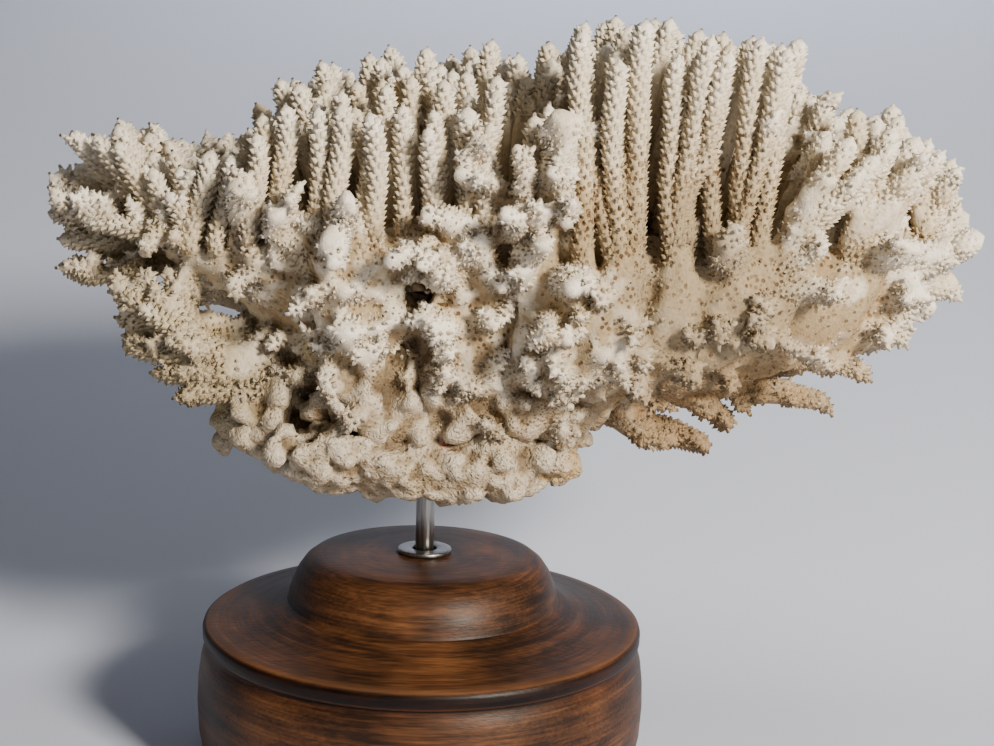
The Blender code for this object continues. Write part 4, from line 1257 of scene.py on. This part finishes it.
def hold_in_box(mesh):
    """Draw in what stands out of the solids' box, by easing the outermost millimetres."""
    places = np.empty(len(mesh.vertices) * 3, np.float32)
    mesh.vertices.foreach_get("co", places)
    places = places.reshape(-1, 3)
    ease, clear = 16.0 * MM, 0.3 * MM
    for axis in range(3):
        for side, limit in ((-1.0, CAD_BOX[0][axis]), (1.0, CAD_BOX[1][axis])):
            start = side * limit - clear - ease
            out = side * places[:, axis] - start
            eased = out * ease / max(ease, float(out.max()))
            places[:, axis] = np.where(out > 0.0, side * (start + eased), places[:, axis])
    mesh.vertices.foreach_set("co", places.ravel())
    mesh.update()


def dress(name, source, spots, cup, pore, tree, material, pore_spacing, seed):
    """Run the cups' tree over a piece and keep the result as a plain mesh."""
    spots = spots_object(name + "_spots", spots)
    modifier = source.modifiers.new("cups", "NODES")
    modifier.node_group = tree
    values = {"Spots": spots, "Cup": cup, "Pore": pore, "Pore spacing": pore_spacing * MM,
              "Seed": seed, "Material": material}
    for item in tree.interface.items_tree:
        if item.item_type == "SOCKET" and item.in_out == "INPUT" and item.name in values:
            modifier[item.identifier] = values[item.name]
    source.update_tag()
    bpy.context.view_layer.update()
    mesh = evaluated(source, name)
    bpy.data.objects.remove(spots, do_unlink=True)
    mesh.shade_smooth()
    hold_in_box(mesh)
    return placed(name, mesh)


def front_spot(x, z):
    """A place on the camera's side of the fused surface, seen at x, z on the front plane."""
    return place_seen(x, z, front_depth(x, z))


def dented(points, normals):
    """Inward shift at the sunken holes of the camera's side."""
    shift = np.zeros(len(points))
    for x, z, radius, depth in HOLES:
        away = np.linalg.norm(points - front_spot(x, z), axis=1)
        shift -= depth * np.exp(-(away / (1.1 * radius)) ** 2 * 0.5)
    return np.where(normals[:, 1] < 0.2, shift, 0.0)


def skin_and_tubes(name, fused, seed, roughness, age_branches, pores_to, tubes):
    """Fused skin, roughened, with the free tubes in the same mesh and their attributes."""
    count = len(fused.vertices)
    points = np.empty(count * 3, np.float32)
    normals = np.empty(count * 3, np.float32)
    fused.vertices.foreach_get("co", points)
    fused.vertex_normals.foreach_get("vector", normals)
    points = points.reshape(-1, 3).astype(float) / MM
    normals = normals.reshape(-1, 3)
    shift = roughen(points, roughness, seed) + dented(points, normals)
    points += normals * shift[:, None]
    edges = np.empty(len(fused.edges) * 2, np.int32)
    fused.edges.foreach_get("vertices", edges)
    sunken = hollowness(points, normals, edges.reshape(-1, 2))
    ages = age_from_tips(points, age_branches) * 1.4
    # Sunken places count as older and raised ones as younger, so hollows come out darker tan and
    # bumps whiter: partly the skin's real age, partly painted shade in the hollows
    ages = np.clip(ages + np.clip(sunken * 110.0, -22.0, 55.0), 0.0, OLD_AGE)
    skin = np.where((ages > PORE_AGE) & (points[:, 2] < pores_to), 1.0, 0.0)
    faces = [tuple(polygon.vertices) for polygon in fused.polygons]
    surface = BVHTree.FromPolygons([Vector(p) for p in points], faces)
    if tubes:
        arrays = [tube_arrays(branch) for branch in tubes]
        tube_points, tube_faces = merged(tube[:2] for tube in arrays)
        faces += [tuple(i + count for i in face) for face in tube_faces]
        points = np.vstack([points, tube_points])
        ages = np.concatenate([ages] + [tube[2] for tube in arrays])
        skin = np.concatenate([skin, np.zeros(len(tube_points))])
    made = mesh_object(name + "_skin", points, faces, ages)
    mark(made.data, "skin", skin)
    bpy.data.meshes.remove(fused)
    return made, surface


def settled_cups(branches, surface, dice):
    """Cups of all the branches: those buried in the fused skin go, those near it sit on it."""
    kept = []
    for branch in branches:
        fused = branch.merge >= branch.length
        for spot in cup_spots(branch, dice):
            place = Vector(spot[0:3])
            nearest, normal, _, distance = surface.find_nearest(place)
            if nearest is not None and distance < 4.5:
                side = (place - nearest).dot(normal)
                if side < (-2.2 if fused else -0.8):
                    continue
                if fused and distance < 3.0:
                    aim = (Vector(spot[3:6]) + normal * 0.7).normalized()
                    spot = (*(nearest - normal * 0.1), *aim, *spot[6:])
            kept.append(spot)
    return kept


# The colony


def free_branch(foot, tip, row, dice):
    """One branch of its own root and tip, with its twigs, by the part of the colony it is in."""
    if all(tip < FAN_UP_TO) and row[7] < 6.0:
        limb = grow(foot, tip, row[6] * 0.7, row[7] * 0.78, 44.0, dice, bend=0.12)
        limb.merge = limb.length * 0.2
        return limb, twigs(limb, dice, 8, 0.2, 0.95, 6.5, 3.0, up=0.9)
    if tip[0] < TUFTS_UP_TO:
        limb = grow(foot, tip, row[6] * 0.8, row[7] * 0.8, 34.0, dice, bend=0.1)
        limb.merge = limb.length * 0.45
        return limb, twigs(limb, dice, 11, 0.25, 0.98, 10.0, 3.3, up=1.3)
    thick = 1.35 if tip[0] > THICK_FROM else 1.1
    limb = grow(foot, tip, row[6] * thick, row[7] * thick, 36.0, dice, bend=0.04, blunt=True,
                cup=0.75)
    limb.merge = limb.length * 0.85
    return limb, twigs(limb, dice, 6, 0.45, 0.98, 4.5, 4.2 if tip[0] > THICK_FROM else 3.4)


def colony_branches():
    """Free fingers and stubs of each piece, and what of them sinks into the fused part."""
    dice = random.Random(41)
    free = {name: [] for name, _, _ in LIMBS}
    free[STEM] = []
    crown, between = crown_fingers()
    places = [(foot, tip, 1.0) for foot, tip, _, _ in crown]
    for x, y in between:
        if crown_edge(x, y) < EXTRA_EDGE:
            foot, tip = finger_at(x, y, crown_height(x, y) - dice.uniform(*EXTRA_SINK))
            places.append((foot, tip, EXTRA_SIZE))
    for foot, tip, size in places:
        name, foot, tip = settle(foot, tip, FINGER_FOOT_RADIUS, FINGER_TIP_RADIUS, False)
        edge = crown_edge(tip[0], tip[1])
        lobed, bushy = tip[0] > LOBED_FROM, tip[0] < BUSHY_UP_TO
        thick = size * (LOBED_SIZE if lobed else BUSHY_SIZE if bushy else 1.0)
        if edge > EDGE and name != STEM:
            finger = edge_pipe(limb_row(name), foot, tip,
                               FINGER_TIP_RADIUS * thick * dice.uniform(0.86, 1.2), dice,
                               dice.choice(PIPE_STARTS))
        else:
            finger = grow(foot, tip, FINGER_FOOT_RADIUS * thick, FINGER_TIP_RADIUS * thick,
                          INNER_COVER, dice, merge=INNER_MERGE)
        if lobed:
            finger.merge = finger.length - 9.0
            finger.cup = 0.8
        if tip[1] > HIDDEN_BEYOND:
            finger.pitch = HIDDEN_PITCH
        free[name].append(finger)
        if lobed:
            free[name] += twigs(finger, dice, 4, 0.62, 0.97, 3.6, 3.9)
        elif bushy:
            free[name] += twigs(finger, dice, 4, 0.5, 0.95, 8.0, 3.4, up=0.5)
        elif dice.random() < 0.5:
            free[name] += twigs(finger, dice, 1, 0.55, 0.86, 10.0, 3.3, up=1.2)
    for foot, tip, foot_radius, tip_radius, bend in front_stubs() + hidden_stubs():
        name, foot, tip = settle(foot, tip, foot_radius, tip_radius, False)
        knob = tip_radius > 5.4
        stub = grow(foot, tip, foot_radius * 1.05, tip_radius * (1.15 if knob else 1.0),
                    STUB_COVER, dice, bend=0.03, blunt=True, via=bend,
                    cup=0.5 if knob else 0.64, pitch=STUB_PITCH, age=9.0, bare=0.6)
        free[name].append(stub)
        free[name] += twigs(stub, dice, 3, 0.5, 0.9, 5.0 if knob else 6.4, tip_radius * 0.6,
                            up=0.3)
    for row in BRANCHES:
        name, foot, tip = settle(vec(*row[0:3]), vec(*row[3:6]), row[6], row[7], True)
        limb = free_branch(foot, tip, row, dice)
        free[name].append(limb[0])
        free[name] += limb[1]
    return free


def free_tubes(branches):
    """The stretches of the branches that stand clear of the fused skin."""
    return [branch.part(branch.merge - 9.0, 1e6) for branch in branches
            if branch.length - branch.merge > 6.0]


def limb_piece(row, free, cup, pore, tree, material):
    """One main limb: fused ribs and feet in one skin, free fingers, cups and pores."""
    name, low = row[:2]
    dice = random.Random(int(low) + 500)
    side_knobs = knobs(row, dice)
    bodies = [wedge_arrays(row)]
    for branch in ribs(row, dice) + side_knobs + free:
        whole = branch.merge >= branch.length
        lower = branch if whole else branch.part(0.0, branch.merge, SUNKEN_SWELL)
        bodies.append(tube_arrays(lower, SUNKEN_SIDES)[:2])
    own_knobs = [knob for knob in old_knobs()
                 if knob[0][2] > OLD_FOOT and limb_of(knob[0]) == name]
    bodies += [ball(*knob) for knob in own_knobs]
    if name == COLUMN_LIMB:
        bodies.append(tube_arrays(Branch(COLUMN_LINE, COLUMN_RADII, 0.0), 10)[:2])
    bodies += [patch(*row) for row in PATCHES if limb_of(front_spot(*row[:2])) == name]
    fused = fused_mesh(name, bodies, VOXEL, 2, KEPT)
    branches = side_knobs + free + [knob_branch(*knob) for knob in own_knobs]
    source, surface = skin_and_tubes(name, fused, low * 0.1, RELIEF, branches, LIMB_PORES_TO,
                                     free_tubes(free))
    spots = settled_cups(branches, surface, dice)
    return dress(name + "_grown", source, spots, cup, pore, tree, material, PORE_SPACING,
                 int(low) + 40)


def ball(centre, radius, rings=7, sides=12):
    """Closed ball as points and faces."""
    points = []
    for i in range(1, rings):
        polar = math.pi * i / rings
        for k in range(sides):
            angle = math.tau * k / sides
            points.append((centre[0] + radius * math.sin(polar) * math.cos(angle),
                           centre[1] + radius * math.sin(polar) * math.sin(angle),
                           centre[2] - radius * math.cos(polar)))
    bottom, top = len(points), len(points) + 1
    points += [(centre[0], centre[1], centre[2] + side * radius) for side in (-1.0, 1.0)]
    faces = side_faces(rings - 1, sides)
    for k in range(sides):
        after = (k + 1) % sides
        faces.append((after, k, bottom))
        faces.append(((rings - 2) * sides + k, (rings - 2) * sides + after, top))
    return np.array(points), faces


def patch(x, z, width, height):
    """A smooth pale lens that lies on the old skin of the camera's side."""
    points, faces = ball((0.0, 0.0, 0.0), 1.0, 8, 14)
    centre = front_spot(x, z)
    return points * vec(0.5 * width, 2.4, 0.5 * height) + centre + vec(0.0, -0.6, 0.0), faces


def old_knobs():
    """Centres and radii of the round knobs seen on the old skin of the camera's side."""
    made = []
    for x, z, radius in OLD_KNOBS:
        for y in range(-110, -10):
            spot = place_seen(x, z, float(y))
            if spot[2] < OLD_FOOT:
                around = spot
                away = reach(ROOT, math.degrees(math.atan2(spot[1], spot[0])), spot[2])
            else:
                around = spot - vec(STEM_X, STEM_Y, 0.0)
                away = reach(BODY, math.degrees(math.atan2(around[1], around[0])), spot[2])
            if math.hypot(around[0], around[1]) <= away - 0.3 * radius or (
                    spot[2] > OLD_FOOT and x < COLUMN_X and y >= COLUMN_Y):
                break
        made.append((spot, radius))
    return made


def knob_branch(centre, radius):
    """Stands for a round knob where the skin's age is reckoned."""
    line = [centre, centre + vec(0.0, -0.4 * radius, 0.0), centre + vec(0.0, -radius, 0.0)]
    return Branch(line, [1.0] * 3, 0.0, age=8.0)


def root_knobs(dice):
    """Round knobs all over the old root mass."""
    made = []
    for _ in range(SMALL_KNOBS):
        degrees = dice.uniform(0.0, 360.0)
        height = dice.uniform(125.0, 154.0)
        radius = dice.choice((2.4, 2.8, 3.4, 4.2, 5.4))
        angle = math.radians(degrees)
        away = reach(ROOT, degrees, min(height, 149.0)) - radius * dice.uniform(0.6, 1.1)
        made.append((vec(away * math.cos(angle), away * math.sin(angle), height), radius))
    for _ in range(UNDER_KNOBS):
        degrees, away = dice.uniform(0.0, 360.0), dice.uniform(10.0, 36.0)
        angle = math.radians(degrees)
        made.append((vec(away * math.cos(angle), away * math.sin(angle), 126.0),
                     dice.uniform(2.4, 4.0)))
    return made


def root_piece(free, cup, pore, tree, material):
    """The dead root mass and the stem, with the fingers on the middle of the crown."""
    dice = random.Random(77)
    rings = []
    for height, *_ in ROOT:
        ring = []
        for k in range(48):
            degrees = 360.0 * k / 48
            away = (reach(ROOT, degrees, height) * lumpy(degrees, height * 1.6, 3.0)) - 2.2
            angle = math.radians(degrees)
            ring.append((away * math.cos(angle), away * math.sin(angle), height + 0.6))
        rings.append(ring)
    bodies = [stack_rings(rings)]
    stem = Branch([(STEM_X, STEM_Y, z) for z in (138.0, 180.0, 232.0)], [STEM_RADIUS - 1] * 3, 0.0)
    bodies.append(tube_arrays(stem, 16)[:2])
    knobs_here = root_knobs(dice) + [knob for knob in old_knobs() if knob[0][2] <= OLD_FOOT]
    knobs_here += [(vec(x, y, z), radius - 3.0) for x, y, z, radius in ROOT_KNOBS]
    bodies += [ball(*knob) for knob in knobs_here]
    bodies += [tube_arrays(branch.part(0.0, branch.merge, SUNKEN_SWELL), SUNKEN_SIDES)[:2]
               for branch in free]
    fused = fused_mesh(STEM, bodies, ROOT_VOXEL, 1, ROOT_KEPT)
    old = []
    for centre, radius in knobs_here:
        away = centre * vec(1.0, 1.0, 0.0) / math.hypot(centre[0], centre[1]) * radius
        old.append(Branch([centre, centre + away * 0.5, centre + away], [1.0] * 3, 0.0, age=10.0))
    source, surface = skin_and_tubes(STEM, fused, 9.0, ROOT_RELIEF, old + free, ROOT_PORES_TO,
                                     free_tubes(free))
    spots = settled_cups(free, surface, dice)
    return dress(STEM + "_grown", source, spots, cup, pore, tree, material, ROOT_PORE_SPACING, 7)


# The stand

# Radius and height: the bulging drum, the beaded rim, the dished disc and the round boss
DRUM = [(88.5, 0.0), (90.0, 1.2), (93.0, 7.0), (94.8, 16.0), (95.4, 28.0), (95.0, 38.0),
        (94.0, 46.0), (92.6, 51.0), (91.5, 53.0)]
RIM = [(91.4, 54.2), (92.6, 55.0), (93.2, 56.2), (93.3, 59.4), (92.8, 61.0), (91.4, 61.9)]
DISC = [(88.0, 62.3), (76.0, 64.0), (64.0, 67.6), (58.9, 70.2), (58.0, 70.4)]
BOSS = [(57.6, 71.2), (57.2, 73.4), (56.0, 77.4), (53.8, 82.4), (51.0, 86.4), (47.8, 88.8),
        (44.5, 89.7), (38.0, 90.0)]
ROD_HOLE = [(4.3, 90.0), (4.3, 61.7)]
WASHER = [(5.4, 90.3), (11.1, 90.3), (11.4, 90.5), (11.5, 90.9), (11.5, 91.6), (11.3, 91.95),
          (10.9, 92.1), (5.6, 92.1), (5.3, 91.9), (5.2, 91.6), (5.2, 90.5)]
ROD = [(3.6, 62.0), (4.0, 62.4), (4.0, 155.6), (3.6, 156.0)]
BASE_SIDES, WASHER_SIDES, ROD_SIDES = 160, 72, 40


def turned(name, profile, sides, ring=False):
    """Body turned about the upright axis, its profile given from the bottom outwards and up."""
    points = []
    for radius, height in profile:
        for k in range(sides):
            angle = math.tau * k / sides
            points.append((radius * math.cos(angle), radius * math.sin(angle), height))
    count = len(profile)
    faces = side_faces(count, sides, ring)
    if not ring:
        faces.append(tuple(reversed(range(sides))))
        faces.append(tuple((count - 1) * sides + k for k in range(sides)))
    made = mesh_object(name, points, faces)
    made.data.shade_smooth()
    made.data.set_sharp_from_angle(angle=math.radians(50.0))
    return made


def stand():
    """Base, washer and rod, turned finer than their solids."""
    base = turned("wooden_base_turned", DRUM + RIM + DISC + BOSS + ROD_HOLE, BASE_SIDES)
    give(base, ["wooden_base"], wood_material())
    washer = turned("washer_pressed", WASHER, WASHER_SIDES, True)
    give(washer, ["washer"],
         metal_material("zinc plated steel", ("#77787A", "#A9AAA8"), 0.34, False))
    rod = turned("steel_rod_drawn", ROD, ROD_SIDES)
    give(rod, ["steel_rod"],
         metal_material("drawn steel", ("#6E6A68", "#A8A4A0"), 0.3, True))


def give(piece, nodes, material=None):
    """Ride a finished piece on the only body, in place of its solids."""
    if material:
        piece.data.materials.clear()
        piece.data.materials.append(material)
    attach(piece, "root")
    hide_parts(*nodes)


# Studio


def aim_at(thing, target):
    """Turn a lamp towards a place."""
    way = Vector(target) - thing.location
    thing.rotation_euler = way.to_track_quat("-Z", "Y").to_euler()


def area_light(name, place, size, power, colour, target=(0.0, 0.0, 0.2), spread=180.0):
    """A soft light of a width and a height in metres, aimed at a target."""
    lamp = bpy.data.lights.new(name, "AREA")
    lamp.spread = math.radians(spread)
    lamp.shape = "RECTANGLE"
    lamp.size, lamp.size_y = size
    lamp.energy = power
    lamp.color = linear(colour)[:3]
    made = placed(name, lamp)
    made.location = place
    aim_at(made, target)


# The sweep in metres: where its slope starts, runs straight and ends, and where its wall stands
RISE_Y, SLOPE_Y, SLOPE_END_Y, WALL_Y = 0.06, 0.2, 1.25, 1.6
SLOPE = 0.385
SWEEP_FRONT, SWEEP_SIDE, SWEEP_TOP = -2.0, 3.0, 3.5
CAMERA_PITCH, CAMERA_ROLL = 9.72, 1.84      # degrees down and over
FOCAL_PIXELS, FRAME_PIXELS, SENSOR = 1600.0, 994.0, 36.0


def studio():
    """Pale sweep that rises behind the object, low enough to see it from behind; soft lights."""
    curve = [(SWEEP_FRONT, 0.0), (RISE_Y, 0.0)]
    curve += [(y, 0.5 * SLOPE * (y - RISE_Y) ** 2 / (SLOPE_Y - RISE_Y))
              for y in np.linspace(RISE_Y, SLOPE_Y, 9)[1:]]
    end = curve[-1][1] + SLOPE * (SLOPE_END_Y - SLOPE_Y)
    curve.append((SLOPE_END_Y, end))
    across = WALL_Y - SLOPE_END_Y
    curve += [(SLOPE_END_Y + across * math.sin(a),
               end + SLOPE * across * math.sin(a) + across * (1.0 - math.cos(a)))
              for a in np.linspace(0.1, math.pi / 2, 14)]
    curve.append((WALL_Y, SWEEP_TOP))
    points = [(side * SWEEP_SIDE, y, z) for y, z in curve for side in (-1.0, 1.0)]
    faces = [(2 * i, 2 * i + 1, 2 * i + 3, 2 * i + 2) for i in range(len(curve) - 1)]
    mesh = bpy.data.meshes.new("studio_sweep")
    mesh.from_pydata(points, [], faces)
    mesh.shade_smooth()
    mesh.materials.append(plain_material("pale backdrop paper", "#CFD9EE", 0.9))
    placed("studio_sweep", mesh)
    area_light("key", (0.85, -1.05, 0.76), (0.28, 0.28), 47.0, "#FFF3E2")
    area_light("fill", (-1.0, -0.9, 0.7), (1.0, 1.0), 0.4, "#FFDDB8")
    area_light("overhead", (0.2, -0.05, 1.25), (0.5, 0.4), 1.8, "#F7F6F4")
    area_light("backdrop wash", (0.2, 1.35, 1.6), (1.2, 0.4), 4.4, "#F4F5F8",
               target=(0.2, 1.3, 0.3), spread=80.0)
    world = bpy.data.worlds.new("soft room")
    world.use_nodes = True
    world.node_tree.nodes["Background"].inputs[0].default_value = linear("#F2E0CA")
    world.node_tree.nodes["Background"].inputs[1].default_value = 0.04
    bpy.context.scene.world = world


def camera():
    """Camera at the photograph's place: a little over the crown's rim, looking down and turned."""
    lens = bpy.data.cameras.new("view")
    lens.sensor_width = SENSOR
    lens.lens = SENSOR * FOCAL_PIXELS / FRAME_PIXELS
    made = placed("view", lens)
    made.matrix_world = (
        Matrix.Translation(Vector((CAMERA_X, CAMERA_Y, CAMERA_Z)) * MM)
        @ Matrix.Rotation(math.pi / 2 - math.radians(CAMERA_PITCH), 4, "X")
        @ Matrix.Rotation(math.radians(CAMERA_ROLL), 4, "Z"))
    bpy.context.scene.camera = made


def main():
    """The colony, limb by limb, then the stand, the studio and the camera."""
    coral = coral_material()
    cup, pore, tree = cup_shape(), pore_shape(), cups_tree()
    free = colony_branches()
    for row in LIMBS:
        give(limb_piece(row, free[row[0]], cup, pore, tree, coral), [row[0]])
    give(root_piece(free[STEM], cup, pore, tree, coral), [STEM])
    for shape in (cup, pore):
        bpy.data.objects.remove(shape, do_unlink=True)
    stand()
    studio()
    camera()


main()
